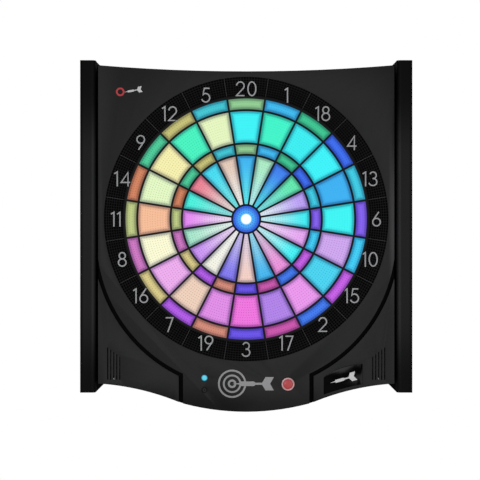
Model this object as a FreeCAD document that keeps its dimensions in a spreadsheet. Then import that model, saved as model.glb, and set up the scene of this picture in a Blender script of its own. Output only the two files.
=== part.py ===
import FreeCAD, Part
import math
import os
from collections import namedtuple
from types import SimpleNamespace

import Sketcher
from FreeCAD import Rotation, Vector

# Electronic dartboard cabinet for a wall.
#
# Frame: +X to the right and +Z up for somebody who faces the board, -Y out of the wall.
# The origin is on the wall, straight behind the bull. Places along Y are given as "out",
# the distance from the wall, so a piece between out 19 and out 22 has y from -22 to -19.

# ---------------------------------------------------------------- driving sizes, in mm
SIZES = {
    # scoring face
    "double_outer": 196.9,
    "double_inner": 177.9,
    "triple_outer": 123.6,
    "triple_inner": 105.0,
    "bull_radius": 21.3,
    "inner_bull_radius": 8.4,
    "web": 3.6,
    "bed_clearance": 0.35,
    "flange_overhang": 1.3,
    "bed_flange": 1.6,
    "post_length": 4.0,
    "post_radius": 1.5,
    "bed_travel": 1.5,
    "bed_recess": 0.8,
    "spider_thickness": 10.0,
    "spider_rim": 3.2,
    "spider_flange": 4.0,
    # number ring
    "number_band": 34.7,
    "ring_gap": 0.4,
    "ring_rise": 4.8,
    "ring_hub": 5.5,
    "ring_rim": 4.4,
    "dish": 2.5,
    # layers behind the beds, counted from the wall
    "rear_floor": 2.5,
    "parts_room": 7.9,
    "backing": 3.0,
    "layer_gap": 0.1,
    "board": 1.6,
    "led_height": 1.5,
    "led_width": 5.0,
    "light_guide": 3.0,
    "membrane": 0.4,
    "mat": 2.0,
    # front housing
    "sheet": 3.0,
    "wall": 2.5,
    "panel_margin": 9.4,
    "top_margin": 8.8,
    "top_sag_radius": 2911.0,
    "control_height": 82.1,
    "chin_radius": 398.0,
    "corner_radius": 415.0,
    "corner_offset": 25.7,
    "kink": 106.3,
    "rear_cover_depth": 17.0,
    "split_gap": 0.2,
    # corner covers
    "groove_depth": 6.0,
    "arc_drop": 31.2,
    "arc_margin": 14.9,
    "arc_groove": 6.4,
    "kink_groove": 7.0,
    "slot_width": 1.6,
    "slot_pitch": 4.9,
    "slot_inset": 15.6,
    "slot_height": 51.3,
    "slot_step": 3.7,
    "slot_lift": 6.8,
    "window_start": 19.7,
    "window_end": 16.3,
    "window_low_height": 28.0,
    "window_high_height": 33.0,
    "window_margin": 5.5,
    "window_top_radius": 110.0,
    "window_depth": 1.2,
    "fit_gap": 0.2,
    # pillars
    "pillar_gap": 4.0,
    "pillar_width": 25.0,
    "pillar_proud": 6.0,
    "pillar_wall": 2.0,
    "pillar_inner_round": 7.0,
    "pillar_outer_round": 3.0,
    "pillar_rise": 17.6,
    "pillar_drop": 50.4,
    "pillar_flange": 13.0,
    "flange_thickness": 3.0,
    "cap_length": 8.0,
    # controls
    "button_x": 68.0,
    "start_drop": 37.0,
    "start_radius": 7.7,
    "start_ring_radius": 10.5,
    "start_neck_radius": 9.2,
    "start_proud": 3.0,
    "start_travel": 2.0,
    "power_drop": 46.6,
    "power_radius": 4.5,
    "power_proud": 1.0,
    "power_travel": 1.5,
    "light_drop": 26.9,
    "light_radius": 5.0,
    "stem_radius": 2.0,
    "switch_height": 3.2,
    "switch_width": 6.0,
    "spring_wire": 0.35,
    "spring_radius": 4.5,
    # speakers, boards and fixings
    "speaker_width": 28.0,
    "speaker_length": 54.0,
    "speaker_depth": 18.0,
    "boss_radius": 3.5,
    "pilot_radius": 1.25,
    "boss_circle": 10.0,
    "screw_head_radius": 2.8,
    "screw_head_height": 2.0,
    "screw_radius": 1.2,
    "screw_length": 7.0,
    "housing_screw_radius": 1.5,
    "housing_screw_length": 24.0,
    "side_screw_far": 200.0,
    "side_screw_near": 120.0,
    "main_board_width": 120.0,
    "main_board_height": 80.0,
    "main_board_drop": 122.0,
    "standoff": 7.0,
    "bracket_width": 120.0,
    "bracket_height": 40.0,
    "bracket_base": 140.0,
    "bracket_plate": 2.0,
    "hook_height": 14.0,
    "hook_clearance": 0.3,
    "wall_hole_radius": 2.5,
    "wall_hole_spacing_x": 90.0,
    "wall_hole_spacing_z": 20.0,
    "jack_radius": 3.9,
    "jack_out": 9.0,
    "jack_half": 5.0,
    "jack_length": 14.0,
    "ribbon_width": 20.0,
    "ribbon_thickness": 0.3,
    "lead_radius": 0.9,
    "lead_bend": 4.0,
}

NUMBERS = (20, 1, 18, 4, 13, 6, 10, 15, 2, 17, 3, 19, 7, 16, 8, 11, 14, 9, 12, 5)
WEDGE = 360 / len(NUMBERS)
HALF_WEDGE = WEDGE / 2
RING_BOSS_COUNT = 12
SLOT_COUNT = 5


class Dim:
    """A size: its present value, and the sheet expression that gives it."""

    def __init__(self, value, text):
        self.value = float(value)
        self.text = text

    def __add__(self, other):
        other = as_dim(other)
        return Dim(self.value + other.value, f"({self.text} + {other.text})")

    def __sub__(self, other):
        other = as_dim(other)
        return Dim(self.value - other.value, f"({self.text} - {other.text})")

    def __mul__(self, other):
        other = as_dim(other)
        return Dim(self.value * other.value, f"({self.text} * {other.text})")

    def __truediv__(self, other):
        other = as_dim(other)
        return Dim(self.value / other.value, f"({self.text} / {other.text})")

    def __neg__(self):
        return Dim(-self.value, f"(0 - {self.text})")

    def __radd__(self, other):
        return as_dim(other) + self

    def __rsub__(self, other):
        return as_dim(other) - self

    def __rmul__(self, other):
        return as_dim(other) * self


def as_dim(number):
    """A Dim as it is, or a plain number as a Dim."""
    if isinstance(number, Dim):
        return number
    return Dim(number, f"({float(number):.6f})")


def root(square):
    """The square root of a Dim."""
    return Dim(math.sqrt(square.value), f"sqrt({square.text})")


def leg(hypotenuse, other_leg):
    """The third side of a right-angled triangle."""
    return root(as_dim(hypotenuse) * hypotenuse - as_dim(other_leg) * other_leg)


def make_sheet(document):
    """Write the driving sizes to a spreadsheet and return them as Dims by name."""
    sheet = document.addObject("Spreadsheet::Sheet", "Sizes")
    for row, (name, value) in enumerate(SIZES.items(), start=1):
        sheet.set(f"A{row}", name)
        sheet.set(f"B{row}", str(value))
        sheet.setAlias(f"B{row}", name)
    document.recompute()
    return SimpleNamespace(**{name: Dim(value, f"Sizes.{name}") for name, value in SIZES.items()})


doc = FreeCAD.newDocument("DartboardCabinet")
s = make_sheet(doc)

# ------------------------------------------------------ places worked out from the sizes
# radii
bed_inset = s.web / 2
rim_radius = s.double_outer + s.spider_rim
ring_radius = s.double_outer + s.number_band
ring_inner = rim_radius + s.ring_gap
ring_outer = ring_radius + s.ring_rim
boss_ring = rim_radius + s.boss_circle + 6
stack_radius = rim_radius + 5
stack_wall = stack_radius + 1
shelf_radius = stack_wall + s.spider_flange
corner_boss = (ring_outer + 18.6) * math.sin(math.radians(45))

# layers, as distances out from the wall
main_board_back = s.rear_floor + s.parts_room
main_board_front = main_board_back + s.board
backing_back = main_board_front + s.standoff
backing_front = backing_back + s.backing
led_board_back = backing_front + s.layer_gap
led_board_front = led_board_back + s.board
guide_back = led_board_front + s.led_height + s.layer_gap
guide_front = guide_back + s.light_guide
membrane_front = guide_front + s.membrane
mat_front = membrane_front + s.mat
post_end = mat_front + s.bed_travel + s.layer_gap
flange_back = post_end + s.post_length
flange_front = flange_back + s.bed_flange
spider_back = flange_front + s.layer_gap
spider_front = spider_back + s.spider_thickness
bed_front = spider_front - s.bed_recess
shelf_front = spider_back + s.spider_flange
ring_front = spider_front + s.ring_rise
sheet_back = ring_front + s.layer_gap
sheet_front = sheet_back + s.sheet
recess_front = sheet_front - s.groove_depth
recess_back = recess_front - s.wall
pillar_front = sheet_front + s.pillar_proud

# the outline of the housing
panel_half = ring_radius + s.panel_margin
top_middle = ring_radius + s.top_margin
chin_bottom = ring_radius + s.control_height
chin_centre = s.chin_radius - chin_bottom
corner_centre_x = panel_half + s.corner_offset
kink_z = chin_centre - leg(s.chin_radius, s.kink)
corner_centre_z = kink_z - leg(s.corner_radius, corner_centre_x - s.kink)
arc_radius = ring_radius + s.arc_margin
arc_centre_z = -s.arc_drop

# pillars
pillar_inner = panel_half + s.pillar_gap
pillar_outer = pillar_inner + s.pillar_width
pillar_top = top_middle + s.pillar_rise
pillar_bottom = -(ring_radius + s.pillar_drop)
flange_inner = pillar_inner - s.pillar_flange
flange_out_front = s.rear_cover_depth
flange_out_back = flange_out_front - s.flange_thickness

# fixings
side_screw_x = panel_half - 5.5
side_screw_heights = [i * k for i in (1, -1) for k in (s.side_screw_far, s.side_screw_near)]
top_screw_x = s.kink - 6.3
top_screw_z = top_middle - 6.4
chin_screw_x = s.button_x - 18
chin_screw_z = -(chin_bottom - 11.7)
housing_screw_places = [(side * side_screw_x, z) for z in side_screw_heights for side in (-1, 1)]
housing_screw_places += [(side * top_screw_x, top_screw_z) for side in (-1, 1)]
housing_screw_places += [(side * chin_screw_x, chin_screw_z) for side in (-1, 1)]
ring_boss_places = []
for number in range(RING_BOSS_COUNT):
    boss_angle = math.radians((number + 0.5) * 360 / RING_BOSS_COUNT)
    ring_boss_places.append((boss_ring * math.cos(boss_angle), boss_ring * math.sin(boss_angle)))
corner_boss_places = [(i * corner_boss, k * corner_boss) for i in (-1, 1) for k in (-1, 1)]

# controls
start_z = -(ring_radius + s.start_drop)
power_z = -(ring_radius + s.power_drop)
light_z = -(ring_radius + s.light_drop)
button_board_back = sheet_back - 16.6
button_board_front = button_board_back + s.board
button_board_top = -(ring_radius + 18.4)
button_board_bottom = -(ring_radius + 54.4)
button_board_middle = (button_board_top + button_board_bottom) / 2
button_board_half = s.button_x + 17
button_board_screws = [(i * (button_board_half - 5), z) for i in (-1, 1)
                       for z in (button_board_top - 5, button_board_bottom + 5)]

# main board, behind the backing plate
tall_part = s.parts_room - 1.9
sound_lead_out = main_board_back - (s.lead_radius + 0.4)
low_lead_out = sound_lead_out - (s.lead_radius * 2 + 0.4)
main_board_top = -s.main_board_drop
main_board_bottom = main_board_top - s.main_board_height
main_board_middle = (main_board_top + main_board_bottom) / 2
plug_bottom = main_board_middle - 29
power_lead_x = 44
button_lead_x = 22
right_sound_x = -28
left_sound_x = -44
main_board_screws = [(i * (s.main_board_width / 2 - 5), z) for i in (-1, 1)
                     for z in (main_board_top - 5, main_board_bottom + 5)]

# wall bracket: a plate on the wall, a shelf at its top and a hook that stands up from it
shelf_top = s.bracket_base + s.bracket_height + s.bracket_plate
hook_top = shelf_top + s.hook_height
hook_back = s.rear_floor + s.hook_clearance
hook_front = hook_back + s.bracket_plate

# switches and what presses them
switch_front = button_board_front + s.switch_height

ribbon_end = main_board_bottom + 1

# speakers, behind the slots
speaker_x = panel_half - s.slot_inset - s.slot_pitch * (SLOT_COUNT - 1) / 2
slot_bottom = corner_centre_z + leg(s.corner_radius, s.corner_offset) + s.slot_lift
speaker_z = slot_bottom + s.speaker_length / 2 - 2
speaker_screw_z = s.speaker_length / 2 - 3

UPRIGHT = Rotation(Vector(0, 0, 1), 0)
OUTWARD = Rotation(Vector(1, 0, 0), 90)


# ------------------------------------------------------------------------ shape helpers
def bind(item, prop, size):
    """Tie a property to the sheet."""
    item.setExpression(prop, as_dim(size).text)


def set_place(item, x=0, y=0, z=0, rotation=UPRIGHT):
    """Turn an object, and tie its place to the sheet."""
    item.Placement.Rotation = rotation
    bind(item, "Placement.Base.x", x)
    bind(item, "Placement.Base.y", y)
    bind(item, "Placement.Base.z", z)


def cylinder(name, radius, back, front, x=0, z=0):
    """A round bar that points out of the wall."""
    bar = doc.addObject("Part::Cylinder", name)
    bind(bar, "Radius", radius)
    bind(bar, "Height", as_dim(front) - back)
    set_place(bar, x, -as_dim(back), z, OUTWARD)
    return bar


def upright_bar(name, radius, x, out, bottom, top):
    """A round bar along Z."""
    bar = doc.addObject("Part::Cylinder", name)
    bind(bar, "Radius", radius)
    bind(bar, "Height", as_dim(top) - bottom)
    set_place(bar, x, -as_dim(out), bottom)
    return bar


def box(name, left, right, back, front, bottom, top):
    """A block between two places along each axis."""
    block = doc.addObject("Part::Box", name)
    bind(block, "Length", as_dim(right) - left)
    bind(block, "Width", as_dim(front) - back)
    bind(block, "Height", as_dim(top) - bottom)
    set_place(block, left, -as_dim(front), bottom)
    return block


def fuse(name, *shapes):
    """Several shapes as one."""
    joined = doc.addObject("Part::MultiFuse", name)
    joined.Shapes = list(shapes)
    return joined


def group(name, shapes):
    """Several separate solids under one name."""
    kept = doc.addObject("Part::Compound", name)
    kept.Links = list(shapes)
    return kept


def cut(name, base, *tools):
    """One shape less the others."""
    rest = doc.addObject("Part::Cut", name)
    rest.Base = base
    rest.Tool = tools[0] if len(tools) == 1 else fuse(f"{name}_tools", *tools)
    return rest


def common(name, first, second):
    """What two shapes share."""
    shared = doc.addObject("Part::Common", name)
    shared.Base = first
    shared.Tool = second
    return shared


def tube(name, outer, inner, back, front, x=0, z=0):
    """A round bar with a round hole."""
    bar = cylinder(f"{name}_bar", outer, back, front, x, z)
    hole = cylinder(f"{name}_hole", inner, back, front, x, z)
    return cut(name, bar, hole)


def cylinders(name, radius, back, front, places):
    """Equal round bars at several places."""
    return [cylinder(f"{name}_{number}", radius, back, front, x, z)
            for number, (x, z) in enumerate(places, start=1)]


def mirrored(name, source):
    """The same piece for the other side of the cabinet."""
    copy = doc.addObject("Part::Mirroring", name)
    copy.Source = source
    copy.Normal = Vector(1, 0, 0)
    return copy


# ------------------------------------------------------------------------------ outlines
# An outline is a closed list of corners. The edge that leaves a corner is straight, or is
# an arc with a radius and a turn of +1 (anticlockwise) or -1 (clockwise).
Corner = namedtuple("Corner", "u v radius turn", defaults=(None, 0))


def start_arc(start, end, radius, turn):
    """The arc between two points, and which of its own ends is the start."""
    run = end - start
    side = Vector(-run.y, run.x, 0).normalize()
    rise = math.sqrt(radius ** 2 - run.Length ** 2 / 4)
    centre = (start + end) / 2 + side * rise * turn
    first, last = (start, end) if turn > 0 else (end, start)
    angles = [math.atan2(point.y - centre.y, point.x - centre.x) for point in (first, last)]
    return Part.ArcOfCircle(Part.Circle(centre, Vector(0, 0, 1), radius), *angles)


def add_outline(sketch, corners):
    """Draw one closed outline, with each corner tied to the sheet."""
    points = [Vector(as_dim(corner.u).value, as_dim(corner.v).value, 0) for corner in corners]
    ends = []
    for number, corner in enumerate(corners):
        start = points[number]
        end = points[(number + 1) % len(points)]
        if corner.radius is None:
            edge = sketch.addGeometry(Part.LineSegment(start, end))
            ends.append((edge, 1, 2))
            continue
        edge = sketch.addGeometry(start_arc(start, end, as_dim(corner.radius).value, corner.turn))
        ends.append((edge, 1, 2) if corner.turn > 0 else (edge, 2, 1))
    for number, corner in enumerate(corners):
        edge, first, last = ends[number]
        following, following_first, _ = ends[(number + 1) % len(ends)]
        sketch.addConstraint(Sketcher.Constraint("Coincident", edge, last, following, following_first))
        for kind, size in (("DistanceX", corner.u), ("DistanceY", corner.v)):
            mark = sketch.addConstraint(Sketcher.Constraint(kind, edge, first, as_dim(size).value))
            bind(sketch, f"Constraints[{mark}]", size)
    for number, corner in enumerate(corners):
        if corner.radius is not None:
            edge = ends[number][0]
            size = as_dim(corner.radius)
            mark = sketch.addConstraint(Sketcher.Constraint("Radius", edge, size.value))
            bind(sketch, f"Constraints[{mark}]", size)


def origin_feature(body, role):
    """A plane or axis of a body's own origin."""
    return [feature for feature in body.Origin.OriginFeatures if feature.Role == role][0]


def make_sketch(body, name, role, offset, *outlines):
    """A sketch of closed outlines on one of the body's own planes."""
    sketch = body.newObject("Sketcher::SketchObject", name)
    sketch.AttachmentSupport = (origin_feature(body, role), "")
    sketch.MapMode = "FlatFace"
    bind(sketch, "AttachmentOffset.Base.z", offset)
    for corners in outlines:
        add_outline(sketch, corners)
    return sketch


def add_pad(body, name, role, offset, length, *outlines):
    """Thicken outlines along the normal of their plane."""
    pad = body.newObject("PartDesign::Pad", name)
    pad.Profile = make_sketch(body, f"{name}_sketch", role, offset, *outlines)
    bind(pad, "Length", length)
    return pad


def plate(name, back, front, *outlines):
    """A body with a front-view outline, between two distances from the wall."""
    body = doc.addObject("PartDesign::Body", name)
    add_pad(body, f"{name}_pad", "XZ_Plane", back, as_dim(front) - back, *outlines)
    return body


def turned(name, corners):
    """A body turned about the Y axis, from corners at (radius, out)."""
    body = doc.addObject("PartDesign::Body", name)
    revolution = body.newObject("PartDesign::Revolution", f"{name}_turn")
    profile = [Corner(corner.u, -as_dim(corner.v)) for corner in corners]
    revolution.Profile = make_sketch(body, f"{name}_sketch", "XY_Plane", 0, profile)
    revolution.ReferenceAxis = (origin_feature(body, "Y_Axis"), "")
    revolution.Angle = 360
    return body


def bottom_edge(x, inset=0):
    """Height of the bottom edge of the housing under the corner covers."""
    return corner_centre_z + leg(s.corner_radius + inset, corner_centre_x - x)


def panel_outline(inset=0):
    """Front view of the housing, or of a space inside it that leaves a wall."""
    half = panel_half - inset
    sag = s.top_sag_radius + inset
    top = top_middle + s.top_sag_radius - leg(sag, half)
    chin = chin_centre - leg(s.chin_radius - inset, s.kink)
    corner = bottom_edge(half, inset)
    return [
        Corner(-half, top, sag, 1),
        Corner(half, top),
        Corner(half, corner, s.corner_radius + inset, 1),
        Corner(s.kink, chin, s.chin_radius - inset, -1),
        Corner(-s.kink, chin, s.corner_radius + inset, 1),
        Corner(-half, corner),
    ]


def cover_outline(inset=0):
    """Front view of the right corner cover, or of the space behind its walls."""
    outer = panel_half - inset
    inner = s.kink + s.kink_groove / 2 + inset
    arc = arc_radius + s.arc_groove / 2 + inset
    return [
        Corner(outer, arc_centre_z - leg(arc, outer), arc, -1),
        Corner(inner, arc_centre_z - leg(arc, inner)),
        Corner(inner, bottom_edge(inner, inset), s.corner_radius + inset, -1),
        Corner(outer, bottom_edge(outer, inset)),
    ]


def window_outline(inset=0):
    """Front view of the label window in the right corner cover."""
    left = s.kink + s.window_start + inset
    last_slot = panel_half - s.slot_inset - s.slot_pitch * (SLOT_COUNT - 1)
    right = last_slot - s.window_end - inset
    low = bottom_edge(left, s.window_margin + inset)
    high = bottom_edge(right, s.window_margin + inset)
    return [
        Corner(left, low, s.corner_radius + s.window_margin + inset, -1),
        Corner(right, high),
        Corner(right, high + s.window_high_height - inset * 2, s.window_top_radius, 1),
        Corner(left, low + s.window_low_height - inset * 2),
    ]


# ---------------------------------------------------------------------------- scoring face
def sector(name, radius, back, front, inset):
    """A wedge one number wide about the upright, with its sides moved in."""
    wedge = cylinder(name, radius, back, front, 0, inset / math.sin(math.radians(HALF_WEDGE)))
    wedge.Placement.Rotation = OUTWARD * Rotation(Vector(0, 0, 1), 90 - HALF_WEDGE)
    wedge.Angle = WEDGE
    return wedge


def ring_piece(name, inner, outer, back, front, inset):
    """The part of a ring that lies inside the wedge of one number."""
    ring = tube(f"{name}_ring", outer, inner, back, front)
    return common(name, ring, sector(f"{name}_wedge", outer, back, front, inset))


BEDS = (
    ("double", s.double_inner + bed_inset, s.double_outer),
    ("outer_single", s.triple_outer + bed_inset, s.double_inner - bed_inset),
    ("triple", s.triple_inner + bed_inset, s.triple_outer - bed_inset),
    ("inner_single", s.bull_radius + s.web, s.triple_inner - bed_inset),
)


def make_bed(name, inner, outer):
    """One bed at the top of the board: its lens, its flange and its two posts."""
    lens = ring_piece(f"{name}_lens", inner, outer, flange_back, bed_front, bed_inset)
    over = s.flange_overhang
    flange = ring_piece(f"{name}_flange", inner - over, outer + over,
                        flange_back, flange_front, bed_inset - over)
    posts = [cylinder(f"{name}_post_{place}", s.post_radius, post_end, flange_front, 0, z)
             for place, z in (("low", inner + 3), ("high", outer - 3))]
    return fuse(f"{name}_bed", lens, flange, *posts)


def make_segments():
    """Twenty groups of four beds, one group for each number, clockwise from the top."""
    masters = [make_bed(*bed) for bed in BEDS]
    segments = []
    for place, number in enumerate(NUMBERS):
        segment = group(f"segments_{number}", masters)
        segment.Placement.Rotation = Rotation(Vector(0, 1, 0), WEDGE * place)
        segments.append(segment)
    return segments


def make_bulls():
    """The outer bull ring and the inner bull, each with a flange and posts."""
    outer_hole = s.inner_bull_radius + s.bed_clearance + 0.15
    outer = s.bull_radius
    lens = tube("outer_bull_lens", outer, outer_hole, spider_back, bed_front)
    flange = tube("outer_bull_flange", outer + s.flange_overhang, s.inner_bull_radius + 3,
                  flange_back, spider_back)
    posts = cylinders("outer_bull_post", s.post_radius, post_end, flange_front,
                      [(i * (outer - 4), 0) for i in (-1, 1)])
    outer_bull = fuse("outer_bull", lens, flange, *posts)
    inner_flange_front = spider_back - s.bed_travel - s.layer_gap * 2
    inner_bull = fuse(
        "inner_bull",
        cylinder("inner_bull_lens", s.inner_bull_radius, post_end + 1, bed_front),
        cylinder("inner_bull_flange", s.inner_bull_radius + 1.6, post_end, inner_flange_front),
    )
    return [outer_bull, inner_bull]


def make_spider():
    """The web between the beds, with a shelf for the number ring and a wall round the stack."""
    disc = cylinder("spider_disc", rim_radius, spider_back, spider_front)
    shelf = cylinder("spider_shelf", shelf_radius, spider_back, shelf_front)
    wall = tube("spider_wall", shelf_radius, stack_wall, backing_front, shelf_front)
    gap = s.bed_clearance
    cells = [ring_piece(f"{name}_cell", inner - gap, outer + gap, spider_back, spider_front,
                        bed_inset - gap) for name, inner, outer in BEDS]
    turns = []
    for place in range(len(NUMBERS)):
        turn = group(f"cells_{place + 1}", cells)
        turn.Placement.Rotation = Rotation(Vector(0, 1, 0), WEDGE * place)
        turns.append(turn)
    blank = fuse("spider_blank", disc, shelf, wall)
    drilled = cut("spider_web", blank, group("spider_cells", turns))
    bull = cylinder("spider_bull_hole", s.bull_radius + gap, spider_back, spider_front)
    half = s.ribbon_width / 2 + 2
    slot = box("spider_ribbon_slot", -half, half, backing_front, mat_front,
               -(shelf_radius + 1), -(stack_wall - 2))
    return cut("spider", drilled, bull, slot)


def make_number_ring():
    """The dished ring that carries the numbers and catches darts off the scoring face."""
    hub = ring_inner + s.ring_hub
    under = ring_front - s.dish
    body = turned("number_ring_dish", [
        Corner(ring_inner, spider_front),
        Corner(ring_radius + 0.6, ring_front),
        Corner(ring_outer, ring_front),
        Corner(ring_outer, under),
        Corner(ring_radius - 0.6, under),
        Corner(hub, spider_front - s.dish + 0.5),
        Corner(hub, shelf_front + s.layer_gap),
        Corner(ring_inner, shelf_front + s.layer_gap),
    ])
    slope = s.ring_rise / (s.number_band - s.spider_rim)
    boss_top = spider_front - s.dish / 2 + slope * (boss_ring - ring_inner)
    bosses = cylinders("ring_boss", s.boss_radius, backing_front, boss_top, ring_boss_places)
    pilots = cylinders("ring_pilot", s.pilot_radius, backing_front, backing_front + 10,
                       ring_boss_places)
    return cut("number_ring", fuse("number_ring_blank", body, *bosses), *pilots)


# ----------------------------------------------------------------- layers behind the beds
def make_layers():
    """Return mat, contact membrane, light guide and LED board, all of one diameter."""
    return [
        cylinder("return_mat", stack_radius, membrane_front, mat_front),
        cylinder("sensor_membrane", stack_radius, guide_front, membrane_front),
        cylinder("light_guide", stack_radius, guide_back, guide_front),
        cylinder("led_board", stack_radius, led_board_back, led_board_front),
    ]


def make_leds():
    """A row of five LEDs behind each number and four behind the bull."""
    half = s.led_width / 2
    middles = [(inner + outer) / 2 for _, inner, outer in BEDS]
    lower_single = s.bull_radius + s.web + 32
    row = [box(f"led_{place}", -half, half, led_board_front, led_board_front + s.led_height,
               middle - half, middle + half)
           for place, middle in enumerate(middles + [lower_single - 14], start=1)]
    turns = []
    for place in range(len(NUMBERS)):
        turn = group(f"led_row_{place + 1}", row)
        turn.Placement.Rotation = Rotation(Vector(0, 1, 0), WEDGE * place)
        turns.append(turn)
    for place, (i, k) in enumerate(((-1, -1), (-1, 1), (1, -1), (1, 1)), start=1):
        turns.append(box(f"bull_led_{place}", i * 6 - half, i * 6 + half, led_board_front,
                         led_board_front + s.led_height, k * 6 - half, k * 6 + half))
    return group("leds", turns)


def make_backing_plate():
    """The stiff plate that clamps the stack to the number ring and to the housing."""
    disc = cylinder("backing_disc", boss_ring + 6, backing_back, backing_front)
    reach = corner_boss + 8
    square = box("backing_square", -reach, reach, backing_back, backing_front, -reach, reach)
    standoffs = cylinders("standoff", s.boss_radius, main_board_front, backing_front,
                          main_board_screws)
    holes = cylinders("backing_hole", s.pilot_radius + 0.35, backing_back, backing_front,
                      ring_boss_places + corner_boss_places)
    pilots = cylinders("standoff_pilot", s.pilot_radius, main_board_front, backing_back,
                       main_board_screws)
    half = s.ribbon_width / 2 + 2
    slot = box("backing_ribbon_slot", -half, half, backing_back, backing_front,
               -(shelf_radius + 10), -(shelf_radius - 4))
    blank = fuse("backing_blank", disc, square, *standoffs)
    return cut("backing_plate", blank, *holes, *pilots, slot)


# ------------------------------------------------------------------------------- housing
def groove_region(name, inset, back, front):
    """The lower right corner of the panel, outside the groove's inner edge."""
    edge = s.kink - s.kink_groove / 2 - inset
    arc = arc_radius - s.arc_groove / 2 - inset
    block = box(f"{name}_block", edge, panel_half + 1, back, front,
                -(chin_bottom + 1), arc_centre_z)
    return cut(name, block, cylinder(f"{name}_arc", arc, back, front, 0, arc_centre_z))


def make_front_bezel():
    """The front housing: sheet, skirt, recesses for the corner covers, and bosses."""
    blank = plate("bezel_blank", s.rear_cover_depth + s.split_gap, sheet_front, panel_outline())
    cavity = plate("bezel_cavity", s.rear_cover_depth, sheet_back, panel_outline(s.wall))
    shell = cut("bezel_shell", blank, cavity)

    slab = plate("recess_slab", recess_back, sheet_front, panel_outline())
    floor = common("recess_floor", slab,
                   groove_region("recess_wall", s.wall, recess_back, sheet_front))
    floor_left = mirrored("recess_floor_left", floor)
    housing_bosses = cylinders("bezel_boss", s.boss_radius, s.rear_cover_depth + s.split_gap,
                               sheet_front - 1, housing_screw_places)
    corner_bosses = cylinders("corner_boss", s.boss_radius + 1, backing_front, sheet_front - 1,
                              corner_boss_places)
    board_bosses = cylinders("board_boss", s.boss_radius, button_board_front, sheet_front - 1,
                             button_board_screws)
    solid = fuse("bezel_solid", shell, floor, floor_left, *housing_bosses, *corner_bosses,
                 *board_bosses)

    recess = groove_region("recess", 0, recess_front, sheet_front + 1)
    sound_hole = box("sound_hole", speaker_x - s.speaker_width / 2 + 3,
                     speaker_x + s.speaker_width / 2 - 3, recess_back - 1, recess_front + 1,
                     speaker_z - s.speaker_length / 2 + 7, speaker_z + s.speaker_length / 2 - 7)
    screw_holes = cylinders("cover_screw_hole", s.pilot_radius + 0.35, recess_back - 1,
                            recess_front + 1, cover_boss_places())
    speaker_pilots = cylinders("speaker_pilot", s.pilot_radius, recess_back - 1,
                               recess_front + 1, speaker_screw_places())
    right_side = fuse("right_recess", recess, sound_hole, *screw_holes, *speaker_pilots)
    left_side = mirrored("left_recess", right_side)

    opening = cylinder("ring_opening", ring_radius, sheet_back - 0.05, sheet_front + 1)
    start_hole = cylinder("start_hole", s.start_neck_radius + s.fit_gap, sheet_back - 1,
                          sheet_front + 1, s.button_x, start_z)
    power_hole = cylinder("power_hole", s.power_radius + 0.3, sheet_back - 1,
                          sheet_front + 1, -s.button_x, power_z)
    light_hole = cylinder("light_hole", s.light_radius + s.fit_gap, sheet_back - 1,
                          sheet_front + 1, -s.button_x, light_z)
    housing_pilots = cylinders("bezel_pilot", s.pilot_radius + 0.3, s.rear_cover_depth,
                               s.rear_cover_depth + 12, housing_screw_places)
    corner_pilots = cylinders("corner_pilot", s.pilot_radius, backing_front,
                              backing_front + 10, corner_boss_places)
    board_pilots = cylinders("board_pilot", s.pilot_radius, button_board_front,
                             button_board_front + 8, button_board_screws)
    return cut("front_bezel", solid, right_side, left_side, opening, start_hole, power_hole,
               light_hole, *housing_pilots, *corner_pilots, *board_pilots)


def cover_boss_places():
    """Screw places of the right corner cover: under its window, and up beside the ring."""
    return [(s.kink + 12.5, bottom_edge(s.kink + 12.5) + 18), (panel_half - 10, arc_centre_z - 119)]


def speaker_screw_places():
    """Screw places above and below the right speaker."""
    return [(speaker_x, speaker_z + side * speaker_screw_z) for side in (-1, 1)]


def make_corner_covers():
    """Both corner covers, and the label window of the right one."""
    back = recess_front + s.layer_gap
    blank = plate("cover_blank", back, sheet_front, cover_outline())
    space = plate("cover_space", back, sheet_back, cover_outline(s.wall))
    bosses = cylinders("cover_boss", s.boss_radius, back, sheet_back + 0.5, cover_boss_places())
    pilots = cylinders("cover_pilot", s.pilot_radius, back, sheet_back + 1.6, cover_boss_places())
    slots = []
    for number in range(SLOT_COUNT):
        x = panel_half - s.slot_inset - s.slot_pitch * number
        top = slot_bottom + s.slot_height - s.slot_step * number
        half = s.slot_width / 2
        slots.append(box(f"slot_{number + 1}", x - half, x + half, sheet_back - 1,
                         sheet_front + 1, slot_bottom, top))
        slots += cylinders(f"slot_end_{number + 1}", half, sheet_back - 1, sheet_front + 1,
                           [(x, slot_bottom), (x, top)])
    shell = fuse("cover_shell", cut("cover_hollow", blank, space), *bosses)
    plain = cut("cover_plain", shell, *pilots, *slots)
    seat = plate("window_seat", sheet_front - s.window_depth, sheet_front + 1, window_outline())
    right = cut("right_corner_cover", plain, seat)
    left = mirrored("left_corner_cover", plain)
    window = plate("label_window", sheet_front - s.window_depth, sheet_front + s.fit_gap,
                   window_outline(s.fit_gap))
    return [right, left, window]


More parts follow.
